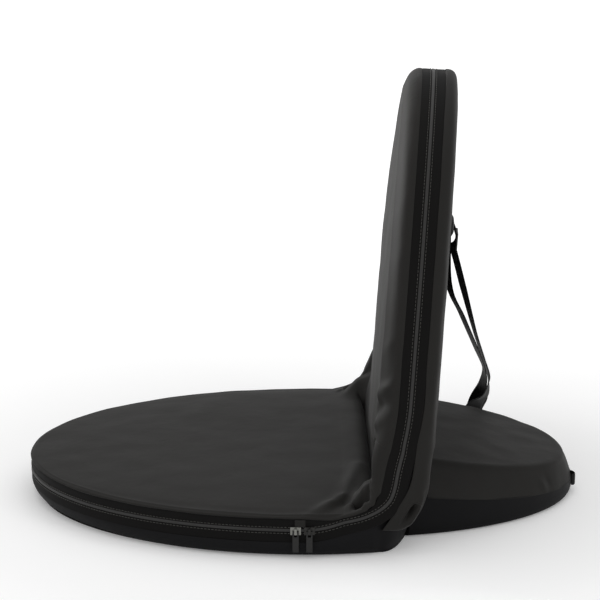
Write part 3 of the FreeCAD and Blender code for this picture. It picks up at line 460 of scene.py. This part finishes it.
faceFolds = [
    # lip of the seat's top before the crease
    ((0.234, 0.022, 0.052), (0.196, 0.046, 0.055), 0.006, 0.0045),
    ((0.196, 0.046, 0.055), (0.090, 0.066, 0.055), 0.008, 0.0035),
    ((0.243, 0.008, 0.050), (0.214, 0.030, 0.053), 0.005, 0.0018),
    ((0.228, 0.036, 0.052), (0.196, 0.057, 0.052), 0.006, -0.0035),
    # bunched pleats over the near hinge
    ((0.243, 0.0700, 0.058), (0.228, 0.0730, 0.084), 0.0028, 0.0042),
    ((0.243, 0.0752, 0.058), (0.228, 0.0775, 0.082), 0.0020, -0.0050),
    ((0.243, 0.0805, 0.062), (0.230, 0.0815, 0.086), 0.0026, 0.0044),
    ((0.243, 0.0855, 0.068), (0.231, 0.0850, 0.090), 0.0020, -0.0040),
    ((0.243, 0.0905, 0.076), (0.232, 0.0890, 0.098), 0.0028, 0.0034),
    ((0.236, 0.0930, 0.096), (0.222, 0.0950, 0.122), 0.0040, -0.0022),
    # soft diagonal folds in the side of the back
    ((0.218, 0.0900, 0.181), (0.249, 0.1180, 0.208), 0.0045, 0.0060),
    ((0.220, 0.0900, 0.146), (0.247, 0.1130, 0.170), 0.0042, 0.0055),
    ((0.220, 0.0900, 0.166), (0.247, 0.1150, 0.188), 0.0040, -0.0040),
    ((0.222, 0.0990, 0.236), (0.249, 0.1210, 0.264), 0.0060, 0.0026),
    ((0.222, 0.1020, 0.285), (0.249, 0.1230, 0.302), 0.0060, 0.0018),
    ((0.222, 0.1060, 0.330), (0.249, 0.1260, 0.356), 0.0070, 0.0022),
    ((0.222, 0.1100, 0.400), (0.246, 0.1290, 0.418), 0.0070, 0.0016),
    ((0.238, 0.1080, 0.200), (0.243, 0.1180, 0.330), 0.0065, -0.0020),
    ((0.236, 0.1020, 0.128), (0.241, 0.1110, 0.178), 0.0045, -0.0024),
]
bm = gridPiece(across, rowCount, facePoint, ringFunctions(len(faceCloth["seatRings"]), faceEdge))
bmesh.ops.recalc_face_normals(bm, faces=bm.faces)
softenPiece(bm, 0.0007, 0.035)
foldPiece(bm, faceFolds)
shapeVerts(bm, twisted)
cushionFace = finished(bm, "cushionFace", finishes["greyCloth"])
acrossBend(cushionFace, ["seat_cover_top", "back_cover_front", "bend_cover_front",
                                       "seat_foam", "back_foam"])
print("cushion face made")


# Cushion rear: back of the back and the round lower end
rearCloth = {"rings": [0.0150, 0.0100, 0.0070, 0.0050, 0.0034, 0.0022, 0.0014, 0.0008, 0.0004, 0.0001,
                       0.0, 0.0, 0.0010],
             "share": [0.03, 0.08, 0.14, 0.20, 0.27, 0.35, 0.43, 0.52, 0.62, 0.73, 0.84, 0.95, 1.0]}
lobePath = [(0.0890, 0.0305), (0.0985, 0.0275), (0.1120, 0.0268), (0.1240, 0.0340), (0.1332, 0.0475),
            (0.1398, 0.0630), (0.1450, 0.0760), (0.1505, 0.0960), (0.1586, 0.1216)]
tapePath = [(0.0890, 0.0315), (0.0985, 0.0455), (0.1108, 0.0642), (0.1200, 0.0780), (0.1268, 0.0909),
            (0.1330, 0.1060), (0.13855, 0.1229)]
rearFolds = [
    # slit beside the strip, and the loose folds of the round lower end
    ((0.246, 0.1290, 0.0610), (0.240, 0.1120, 0.0390), 0.0026, -0.0170),
    ((0.246, 0.1350, 0.0700), (0.240, 0.1190, 0.0390), 0.0030, 0.0040),
    ((0.240, 0.1400, 0.0780), (0.234, 0.1290, 0.0440), 0.0034, -0.0030),
    ((0.244, 0.1380, 0.0900), (0.242, 0.1310, 0.0680), 0.0040, 0.0030),
    ((0.248, 0.1480, 0.1500), (0.248, 0.1540, 0.2400), 0.0060, -0.0016),
]
rearRows = rowsOf["bend"] + rowsOf["back"]


def rearFace(x, s):
    r = math.hypot(x / back["halfWidth"], (s - back["ovalS"]) / back["reach"])
    e = min(max(1.0 - r, 0.0) / 0.5, 1.0)
    return back["rear"] - 0.0004 + 0.0027 * (1.0 - (1.0 - e) ** 2.4)


def rearEdge(u, row, ring=None):
    side = 1.0 if u >= 0 else -1.0
    inset, share = (0.024, 0.0) if ring is None else (rearCloth["rings"][ring], rearCloth["share"][ring])
    if row > rowsOf["bend"]:
        a = backAngle((row - rowsOf["bend"]) / rowsOf["back"])
        if row == rearRows:
            a = math.asin(abs(u) * math.sin(a))
        s = back["ovalS"] + (back["reach"] - inset) * math.cos(a)
        x = side * (back["halfWidth"] - inset) * math.sin(a)
        if ring is None:
            return onBack(x, rearFace(x, s), s)
        return onBack(x, mix(back["rear"] - 0.0004, zipDepth(s) + 0.0142, share), s)
    f = row / rowsOf["bend"]
    low, high = alongPath(lobePath, f), alongPath(tapePath, f)
    halfWide = mix(0.2440, 0.2500, smooth(f))
    return Vector((side * (halfWide - inset), mix(low.x, high.x, share), mix(low.y, high.y, share)))


def rearPoint(u, row):
    edge = rearEdge(u, row) if row == rearRows else rearEdge(math.copysign(1.0, u), row)
    if row == rearRows or abs(u) > 0.9999:
        return edge
    x = abs(edge.x) * u
    if row > rowsOf["bend"]:
        a = backAngle((row - rowsOf["bend"]) / rowsOf["back"])
        s = back["ovalS"] + (back["reach"] - 0.024) * math.cos(a)
        return onBack(x, rearFace(x, s), s)
    return Vector((x, edge.y, edge.z))


bm = gridPiece(across, rearRows, rearPoint, ringFunctions(len(rearCloth["rings"]), rearEdge))
bmesh.ops.recalc_face_normals(bm, faces=bm.faces)
softenPiece(bm, 0.0006, 0.04)
foldPiece(bm, rearFolds)
shapeVerts(bm, twisted)
cushionRear = finished(bm, "cushionRear", finishes["greyCloth"])
acrossBend(cushionRear, ["back_cover_rear", "bend_cover_rear", "bend_foam"])
print("cushion rear made")


# Zip: two tapes and the coil along the zip line, from the seat's tip up the right side and down the left
def zipStations():
    rows = [(1.0, row) for row in range(rowCount + 1)]
    return rows + [(-1.0, row) for row in range(rowCount, -1, -1)]


def nearestOf(chain, vert):
    return min(range(len(chain)), key=lambda k: (chain[k].co - vert.co).length)


def sweptBand(section, place):
    # section is a list of (inset, up) pairs; the chain is carried along the zip line
    bm = bmesh.new()
    stations = zipStations()
    chain = [bm.verts.new(place(*stations[0], i, h)) for i, h in section]
    edges = [bm.edges.new((a, b)) for a, b in zip(chain, chain[1:])]
    first = list(chain)
    for u, row in stations[1:]:
        grown = bmesh.ops.extrude_edge_only(bm, edges=edges)["geom"]
        edges = [g for g in grown if isinstance(g, bmesh.types.BMEdge)]
        verts = [g for g in grown if isinstance(g, bmesh.types.BMVert)]
        ordered = sorted(verts, key=lambda v: nearestOf(chain, v))
        for v, (i, h) in zip(ordered, section):
            v.co = place(u, row, i, h)
        chain = ordered
        edges = [e for e in edges if e.verts[0] in set(chain) and e.verts[1] in set(chain)]
    for a, b, c, d in zip(first, first[1:], chain, chain[1:]):
        bm.faces.new((a, b, d, c))
    return bm


def tapePoint(u, row, inset, up):
    return rimPoint(u, row, inset, up * tapeTop(row) if up > 0 else up * tape["below"])


tapeSection = [(0.0030, 1.06), (0.0012, 1.0), (0.0010, 0.75), (0.0010, 0.45), (0.0012, 0.16), (0.0022, 0.04),
               (0.0022, -0.04), (0.0012, -0.14), (0.0010, -0.45), (0.0010, -0.72), (0.0009, -0.94),
               (0.0014, -0.99), (0.0030, -1.0)]
bm = sweptBand(tapeSection, tapePoint)
shapeVerts(bm, twisted)
zipTape = finished(bm, "zipTape", finishes["zipTape"])
acrossBend(zipTape, ["seat_zip_tape_lower", "seat_zip_tape_upper", "back_zip_tape_front",
                                 "back_zip_tape_rear", "bend_zip_tape_inner", "bend_zip_tape_outer"])

coilSection = [(0.0018, 0.0021), (0.0005, 0.0015), (0.0009, 0.0), (0.0005, -0.0015), (0.0018, -0.0021)]
bm = sweptBand(coilSection, rimPoint)
shapeVerts(bm, twisted)
zipCoil = finished(bm, "zipCoil", finishes["zipNylon"])
acrossBend(zipCoil, ["seat_zip_coil_front", "seat_zip_coil_rear", "back_zip_coil",
                                  "bend_zip_coil"])


def stitchRuns(ups, pitch, size):
    # Short raised stitches at an even pitch along both tapes
    bm = bmesh.new()
    stations = zipStations()
    for up in ups:
        left = pitch
        for (u, row), (u2, row2) in zip(stations, stations[1:]):
            a, b = rimPoint(u, row, 0.0009, up), rimPoint(u2, row2, 0.0009, up)
            out = (rimPoint(u, row, 0.0, up) - rimPoint(u, row, 0.004, up)).normalized()
            length = (b - a).length
            while length > 1e-6 and left < length:
                along = (b - a).normalized()
                turn = Matrix((along, out, along.cross(out))).transposed().to_4x4()
                turn.translation = a + along * left
                bmesh.ops.create_cube(bm, size=1.0, matrix=turn @ Matrix.Diagonal((*size, 1.0)))
                left += pitch
            left -= length
    return bm


stitch = {"ups": (0.0036, -0.0036), "pitch": 0.0042, "size": (0.0027, 0.0007, 0.0007)}
bm = stitchRuns(stitch["ups"], stitch["pitch"], stitch["size"])
shapeVerts(bm, twisted)
zipStitches = finished(bm, "zipStitches", finishes["thread"], smoothing=0)
acrossBend(zipStitches)
print("zip made")


# Black lower shell of the seat
# Rings are inset and height; corner is (y, height of the shell's edge) from the seat's side to the rear
shell = {"top": 0.021, "drawnIn": 0.0065, "behindLobe": 0.004, "cornerHalf": 0.24357, "cornerRadius": 0.060,
         "cornerReach": 0.040,
         "rings": [(0.0006, 0.0195), (0.0003, 0.0165), (0.0008, 0.0130), (0.0018, 0.0095), (0.0034, 0.0062),
                   (0.0060, 0.0035), (0.0090, 0.0014), (0.0125, 0.0003)],
         "corner": [(0.0462, 0.0279), (0.0693, 0.0322), (0.0889, 0.0395), (0.1028, 0.0430), (0.1300, 0.0450)]}
shellRows = {"seat": 96, "corner": 24}


def shellOval(u, row, inset, z):
    side = 1.0 if u >= 0 else -1.0
    total = shellRows["seat"] + shellRows["corner"]
    if row <= shellRows["seat"]:
        a = math.radians(mix(2.5, 103.03, row / shellRows["seat"]))
        if row == 0:
            a = math.asin(abs(u) * math.sin(a))
        return Vector((side * (seat["halfWidth"] - inset) * math.sin(a),
                       seat["centreY"] - (seat["reach"] - inset) * math.cos(a), z))
    f = (row - shellRows["seat"]) / (total - shellRows["seat"])
    a = math.asin(shell["cornerReach"] / shell["cornerRadius"]) * f
    return Vector((side * (shell["cornerHalf"] - inset) * math.cos(a),
                   back["hingeY"] + (shell["cornerRadius"] - inset) * math.sin(a), z))


def shellPoint(u, row):
    inset, z = shell["rings"][-1]
    edge = shellOval(u, row, inset, z) if row == 0 else shellOval(math.copysign(1.0, u), row, inset, z)
    if row == 0 or abs(u) > 0.9999:
        return edge
    return Vector((abs(edge.x) * u, edge.y, z))


def shellRing(u, row, k):
    inset, z = shell["rings"][len(shell["rings"]) - 2 - k]
    y = shellOval(u, row, inset, z).y
    inset += shell["drawnIn"] * (1.0 - z / shell["top"]) * smooth((-0.09 - y) / 0.2)
    inset += shell["behindLobe"] * smooth((y - 0.080) / 0.010)
    if y < shell["corner"][0][0]:
        return shellOval(u, row, inset, z + zipRise(y) * (z / shell["top"]))
    corner = shell["corner"]
    i = max(n for n in range(len(corner) - 1) if corner[n][0] <= y)
    share = min((y - corner[i][0]) / (corner[i + 1][0] - corner[i][0]), 1.0)
    high = mix(corner[i][1], corner[i + 1][1], share)
    return shellOval(u, row, inset, z * high / shell["rings"][0][1])


bm = gridPiece(48, sum(shellRows.values()), shellPoint, ringFunctions(len(shell["rings"]) - 1, shellRing))
lowerShell = finished(bm, "lowerShell", finishes["blackCloth"])
dressed(lowerShell, "seat", ["seat_cover_bottom"])


# Rear pad
# The top narrows and rises toward the back; the side slopes down to the seam
tail = {"centreY": 0.04835, "reach": 0.2762, "halfWidth": 0.190, "riseY": 0.1574, "tipY": 0.3246,
        "frontTop": 0.064, "tipTop": 0.0485, "seamFront": 0.046, "seamTip": 0.020, "slope": 0.0427,
        "lift": 0.2575, "baseReach": 0.286, "tucked": 0.016, "lowStartY": 0.1180, "lowTop": 0.0440}
tailRows = 64
tailTopRings = [(0.0042, -0.0005), (0.0022, -0.0016), (0.0010, -0.0034), (0.0004, -0.0058)]
tailWall = 6


def tailShare(y):
    return (y - tail["riseY"]) / (tail["tipY"] - tail["riseY"])


def tailTopHeight(y):
    return mix(tail["frontTop"], tail["tipTop"], tailShare(y)) + tail["lift"] * tailSlope(y)


def tailSlope(y):
    return tail["slope"] * min(max((0.329 - y) / 0.159, 0.0), 1.1)


def tailSeam(y):
    return mix(tail["seamFront"], tail["seamTip"], tailShare(y))


def tailAngle(row):
    first = math.degrees(math.acos((tail["riseY"] - tail["tucked"] - tail["centreY"]) / tail["reach"]))
    return math.radians(mix(first, 2.0, row / tailRows))


def tailOval(u, row, inset, reach):
    side = 1.0 if u >= 0 else -1.0
    a = tailAngle(row)
    if row == tailRows:
        a = math.asin(abs(u) * math.sin(a))
    return Vector((side * (tail["halfWidth"] - inset) * math.sin(a),
                   tail["centreY"] + (reach - inset) * math.cos(a), 0.0))


def tailTopEdge(u, row, inset):
    p = tailOval(u, row, inset, tail["reach"])
    p.x *= 1.0 - tailSlope(p.y) / tail["halfWidth"] / max(math.sin(tailAngle(row)), 0.5)
    return p


def tailPoint(u, row):
    edge = tailTopEdge(u if row == tailRows else math.copysign(1.0, u), row, 0.008)
    x = edge.x if row == tailRows or abs(u) > 0.9999 else abs(edge.x) * u
    r = math.hypot(x / (tail["halfWidth"] - tailSlope(edge.y)), (edge.y - tail["centreY"]) / tail["reach"])
    return Vector((x, edge.y, tailTopHeight(edge.y) + 0.0030 * smooth((1.0 - r) / 0.4) - 0.0002))


def tailRing(u, row, k):
    if k < len(tailTopRings):
        inset, drop = tailTopRings[k]
        p = tailTopEdge(u, row, inset)
        return Vector((p.x, p.y, tailTopHeight(p.y) + drop))
    f = (k - len(tailTopRings) + 1) / tailWall
    high = tailTopEdge(u, row, 0.0004)
    low = tailOval(u, row, -0.0008, tail["baseReach"] - 0.001)
    seam = tailSeam(low.y) - 0.001
    p = high.lerp(low, f ** 0.85)
    return Vector((p.x, p.y, mix(tailTopHeight(high.y) - 0.0058, seam, f)))


tailFolds = [
    # creases in the side where it meets the back, and a small tuck in the hem near the tip
    ((0.168, 0.1600, 0.0620), (0.140, 0.2050, 0.0600), 0.0030, -0.0024),
    ((0.168, 0.1600, 0.0560), (0.146, 0.2150, 0.0520), 0.0026, 0.0020),
    ((0.172, 0.1600, 0.0500), (0.150, 0.2200, 0.0470), 0.0028, -0.0018),
    ((0.100, 0.2860, 0.0440), (0.096, 0.2900, 0.0270), 0.0040, 0.0022),
    ((0.090, 0.2930, 0.0440), (0.084, 0.2970, 0.0260), 0.0028, -0.0018),
]
bm = gridPiece(56, tailRows, tailPoint, ringFunctions(len(tailTopRings) + tailWall, tailRing))
bmesh.ops.recalc_face_normals(bm, faces=bm.faces)
softenPiece(bm, 0.0007, 0.03)
foldPiece(bm, tailFolds)
tailTop = finished(bm, "tailTop", finishes["greyCloth"])
dressed(tailTop, "seat", ["tail_cover_top", "tail_foam"])

tailLowRows = 76
tailLowRings = [(0.0050, 0.0004), (0.0026, 0.0022), (0.0010, 0.0050), (0.0002, 0.0085), (0.0, 0.0125)]


def tailLowAngle(row):
    first = math.degrees(math.acos((tail["lowStartY"] - tail["centreY"]) / tail["baseReach"]))
    return math.radians(mix(first, 2.0, row / tailLowRows))


def tailLowOval(u, row, inset, z):
    side = 1.0 if u >= 0 else -1.0
    a = tailLowAngle(row)
    if row == tailLowRows:
        a = math.asin(abs(u) * math.sin(a))
    return Vector((side * (tail["halfWidth"] - inset) * math.sin(a),
                   tail["centreY"] + (tail["baseReach"] - inset) * math.cos(a), z))


def tailLowPoint(u, row):
    edge = tailLowOval(u if row == tailLowRows else math.copysign(1.0, u), row, 0.009, 0.0002)
    if row == tailLowRows or abs(u) > 0.9999:
        return edge
    return Vector((abs(edge.x) * u, edge.y, edge.z))


def tailLowRing(u, row, k):
    if k < len(tailLowRings):
        return tailLowOval(u, row, *tailLowRings[k])
    p = tailLowOval(u, row, 0.0002, 0.0)
    climb = smooth((p.y - tail["lowStartY"]) / 0.020)
    top = min(tailSeam(p.y), mix(tail["lowTop"], tail["seamFront"] + 0.004, climb))
    f = (k - len(tailLowRings) + 1) / 5
    return Vector((p.x, p.y, mix(0.0125, top, f)))


bm = gridPiece(48, tailLowRows, tailLowPoint, ringFunctions(len(tailLowRings) + 5, tailLowRing))
tailUnderside = finished(bm, "tailUnderside", finishes["blackCloth"])
dressed(tailUnderside, "seat", ["tail_cover_bottom"])
print("shell and rear pad made")


# Strap: one band of webbing, its slide and the two sewn patches
def ribbon(stations, width, step=0.006):
    # stations are (point, width direction); the band is carried along a smooth curve through them
    bm = bmesh.new()
    points, sides = [s[0] for s in stations], [s[1] for s in stations]
    total = sum((Vector(b) - Vector(a)).length for a, b in zip(points, points[1:]))
    count = int(total / step)
    chain = []
    for n in range(count + 1):
        i, h = curveSpan(points, n / count)
        side = mix(Vector(sides[i]), Vector(sides[i + 1]), h).normalized()
        row = [alongPath(points, n / count) + side * width * k for k in (-0.5, -0.25, 0.0, 0.25, 0.5)]
        if not chain:
            chain = [bm.verts.new(q) for q in row]
            edges = [bm.edges.new(pair) for pair in zip(chain, chain[1:])]
            continue
        grown = bmesh.ops.extrude_edge_only(bm, edges=edges)["geom"]
        verts = [g for g in grown if isinstance(g, bmesh.types.BMVert)]
        ordered = sorted(verts, key=lambda v: nearestOf(chain, v))
        for v, q in zip(ordered, row):
            v.co = q
        chain = ordered
        edges = [g for g in grown if isinstance(g, bmesh.types.BMEdge) and g.is_boundary
                 and g.verts[0] in ordered and g.verts[1] in ordered]
        edges = [e for e in edges if abs(ordered.index(e.verts[0]) - ordered.index(e.verts[1])) == 1]
    return bm


strap = {"x": 0.140, "patchS": 0.311, "patchV": 0.0692, "patchHalf": (0.021, 0.009), "patchRise": 0.0022,
         "low": 0.285, "bar": 0.0024, "slot": 0.0064, "under": 0.0734, "over": 0.0775, "rear": 0.0768,
         "width": 0.025, "thickness": 0.0015}
# Free run of the band: x, y and z of its middle, then x and y of its width direction
strapRun = [(0.134, 0.1718, 0.3372, 1.0, 0.3), (0.107, 0.1810, 0.3050, 1.0, 0.3),
            (0.080, 0.1900, 0.2729, 1.0, 0.3), (0.020, 0.2096, 0.2052, 1.0, 0.16),
            (-0.040, 0.2257, 0.1565, 1.0, 0.14),
            (-0.090, 0.2388, 0.1157, 1.0, 0.1), (-0.130, 0.2400, 0.0790, 1.0, -0.5),
            # round the left edge of the rear pad
            (-0.1486, 0.2320, 0.0640, 0.5, -1.0), (-0.1648, 0.2260, 0.0490, 0.25, -1.0),
            (-0.1710, 0.2230, 0.0260, 0.25, -1.0), (-0.1810, 0.2190, 0.0085, 0.25, -1.0),
            (-0.1980, 0.2150, 0.0034, 0.25, -1.0), (-0.2130, 0.2120, 0.0040, 0.25, -1.0),
            (-0.2190, 0.2110, 0.0090, 0.25, -1.0), (-0.2130, 0.2120, 0.0140, 0.25, -1.0),
            (-0.1990, 0.2170, 0.0160, 0.25, -1.0), (-0.1880, 0.2230, 0.0260, 0.25, -1.0),
            (-0.1810, 0.2300, 0.0460, 0.25, -1.0), (-0.1720, 0.2360, 0.0660, -0.6, -0.8),
            # back up to the left patch
            (-0.1660, 0.2387, 0.0795, -1.0, -0.4), (-0.1580, 0.2401, 0.1024, -1.0, -0.1),
            (-0.1500, 0.2290, 0.1318, -1.0, -0.25), (-0.1440, 0.2080, 0.1806, -1.0, -0.3),
            (-0.1400, 0.1900, 0.2242, -1.0, -0.3)]


def onRear(x, v, s):
    return tuple(twisted(onBack(x, v, s)))


pitchS = strap["bar"] + strap["slot"]
threaded = [(strap["under"], 2 * pitchS + 0.009), (strap["under"], 2 * pitchS),
            (strap["over"], 1.5 * pitchS - 0.001), (strap["under"], 0.0012)]
leftEnd = [(0.0775, 0.250), (0.0724, 0.290), (0.0718, 0.318)]
strapStations = [(onRear(strap["x"], v, strap["low"] + s), (1.0, 0.0, 0.0)) for v, s in threaded]
strapStations += [((x, y, z), (a, b, 0.0)) for x, y, z, a, b in strapRun]
strapStations += [(onRear(-strap["x"], v, s), (-1.0, 0.0, 0.0)) for v, s in leftEnd]
strapBand = finished(ribbon(strapStations, strap["width"]), "strapBand", finishes["webbing"],
                     thickness=strap["thickness"])
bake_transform(strapBand)
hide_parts("strap_webbing")


def patchPiece(name, side, replaced):
    # Sewn cloth patch, swollen a little over the end of the band
    bm = bmesh.new()
    bmesh.ops.create_grid(bm, x_segments=14, y_segments=7, size=1.0)
    for v in bm.verts:
        edge = max(abs(v.co.x), abs(v.co.y))
        rise = strap["patchRise"] * smooth((1.0 - edge) / 0.35)
        v.co = twisted(onBack(side * strap["x"] + v.co.x * strap["patchHalf"][0], strap["patchV"] + rise,
                              strap["patchS"] + v.co.y * strap["patchHalf"][1]))
    return dressed(finished(bm, name, finishes["webbing"], thickness=0.0012), "back", [replaced])


patchPiece("strapPatchRight", 1.0, "strap_patch_right")
patchPiece("strapPatchLeft", -1.0, "strap_patch_left")

bm = bmesh.new()
bmesh.ops.create_grid(bm, x_segments=3, y_segments=5, size=1.0)
acrossSlide = [-0.0160, -0.0130, 0.0130, 0.0160]
upSlide = [0.0, strap["bar"], pitchS, pitchS + strap["bar"], 2 * pitchS, 2 * pitchS + strap["bar"]]
slots = []
for face in bm.faces:
    middle = face.calc_center_median()
    if abs(middle.x) < 0.1 and round((middle.y + 1.0) * 2.5 - 0.5) in (1, 3):
        slots.append(face)
for v in bm.verts:
    column, level = round((v.co.x + 1.0) * 1.5), round((v.co.y + 1.0) * 2.5)
    v.co = twisted(onBack(strap["x"] + acrossSlide[column], strap["rear"], strap["low"] + upSlide[level]))
bmesh.ops.delete(bm, geom=slots, context="FACES")
strapSlide = finished(bm, "strapSlide", finishes["buckleNylon"], smoothing=0, thickness=0.0022)
rounding = strapSlide.modifiers.new("rounded edges", "BEVEL")
rounding.width, rounding.segments = 0.0007, 2
dressed(strapSlide, "buckle", ["strap_buckle"])

tag = {"x": 0.022, "y": 0.3309, "z": 0.0170, "width": 0.015, "step": 0.002, "thickness": 0.0010,
       "bend": [(-0.0075, 0.0002), (-0.0062, 0.0039), (0.0, 0.0063), (0.0062, 0.0039), (0.0075, 0.0002)]}
tagDrop = (0.0, 0.0005, 0.0010, 0.0005, 0.0)
tagStations = [((tag["x"] + a, tag["y"] + b, tag["z"] - drop), (0.0, 0.0, 1.0))
               for (a, b), drop in zip(tag["bend"], tagDrop)]
tagLoop = finished(ribbon(tagStations, tag["width"], tag["step"]), "tagLoop", finishes["webbing"],
                   thickness=tag["thickness"])
dressed(tagLoop, "seat", ["tail_tag"])
print("strap made")


# CAD nodes that stay
hingePieces = ("hinge_seat_plate", "hinge_back_arm", "hinge_pin", "pawl", "pawl_pin", "pawl_spring")
kept = {"tubeSteel": ["seat_frame_tube", "seat_cross_tube", "back_frame_tube", "back_cross_tube"],
        "hingeSteel": ["seat_rivets", "back_rivets"] + [piece + side for side in ("_right", "_left")
                                                        for piece in hingePieces],
        "sliderSilver": ["zip_slider_front"], "sliderDark": ["zip_slider_rear"],
        "pullZincPaintedShade": ["zip_pull_front", "zip_pull_rear"], "greyCloth": ["zip_end_tab"]}
for finish, names in kept.items():
    for name in names:
        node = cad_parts[name]
        node.data.materials.clear()
        node.data.materials.append(finishes[finish])


# Floor, light and camera
floorSize = 12.0
bm = bmesh.new()
bmesh.ops.create_grid(bm, x_segments=8, y_segments=8, size=floorSize / 2.0)
studioFloor = finished(bm, "studioFloor", bpy.data.materials.new("white studio floor"), smoothing=0)
floorMaterial = studioFloor.data.materials[0]
floorMaterial.use_nodes = True
shader = floorMaterial.node_tree.nodes["Principled BSDF"]
shader.inputs["Base Color"].default_value = linear("#fcfcfc")
shader.inputs["Roughness"].default_value = 1.0
shader.inputs["Specular IOR Level"].default_value = 0.0
seen = addNode(floorMaterial, "ShaderNodeLightPath")
where = addNode(floorMaterial, "ShaderNodeTexCoord").outputs["Object"]
distance = addNode(floorMaterial, "ShaderNodeVectorMath", links={0: where}, operation="LENGTH")
fade = addNode(floorMaterial, "ShaderNodeMapRange", {"From Min": 0.42, "From Max": 1.3, "To Min": 0.12,
               "To Max": 0.4}, {"Value": distance.outputs["Value"]})
lift = addNode(floorMaterial, "ShaderNodeMath", links={0: seen.outputs["Is Camera Ray"],
               1: fade.outputs["Result"]}, operation="MULTIPLY")
shader.inputs["Emission Color"].default_value = (1.0, 1.0, 1.0, 1.0)
floorMaterial.node_tree.links.new(lift.outputs[0], shader.inputs["Emission Strength"])

world = bpy.data.worlds.new("studio")
bpy.context.scene.world = world
world.use_nodes = True
sky = world.node_tree.nodes["Background"]
sky.inputs["Color"].default_value = (1.0, 1.0, 1.0, 1.0)
seen = addNode(world, "ShaderNodeLightPath")
level = addNode(world, "ShaderNodeMapRange", {"To Min": 0.73}, {"Value": seen.outputs["Is Camera Ray"]})
world.node_tree.links.new(level.outputs["Result"], sky.inputs["Strength"])


def softLight(name, size, power, place, target):
    data = bpy.data.lights.new(name, "AREA")
    data.shape, data.size, data.size_y, data.energy = "RECTANGLE", size[0], size[1], power
    lamp = bpy.data.objects.new(name, data)
    bpy.context.scene.collection.objects.link(lamp)
    lamp.location = place
    lamp.rotation_euler = (Vector(target) - Vector(place)).to_track_quat("-Z", "Y").to_euler()
    return data


softLight("overhead softbox", (2.4, 2.0), 9.0, (-0.3, -0.3, 2.4), (0.0, 0.0, 0.1))
softLight("side softbox", (0.9, 1.1), 3.0, (1.7, -1.9, 1.0), (0.0, 0.05, 0.25))
softLight("rear softbox", (0.5, 1.2), 3.5, (1.6, 2.0, 0.9), (0.2, 0.15, 0.35))
grid = softLight("gridded softbox", (0.3, 0.3), 0.8, (-1.2, -2.0, 0.95), (0.15, 0.08, 0.52))
grid.spread = math.radians(22.0)

camera = bpy.data.objects.new("camera", bpy.data.cameras.new("camera"))
bpy.context.scene.collection.objects.link(camera)
camera.data.lens, camera.data.sensor_width = 124.48, 36.0
camera.location = (2.4481, -0.01304, 0.8680)
camera.rotation_euler = (math.radians(75.567), 0.0, math.radians(89.758))
bpy.context.scene.camera = camera
bpy.context.scene.view_settings.view_transform = "Standard"
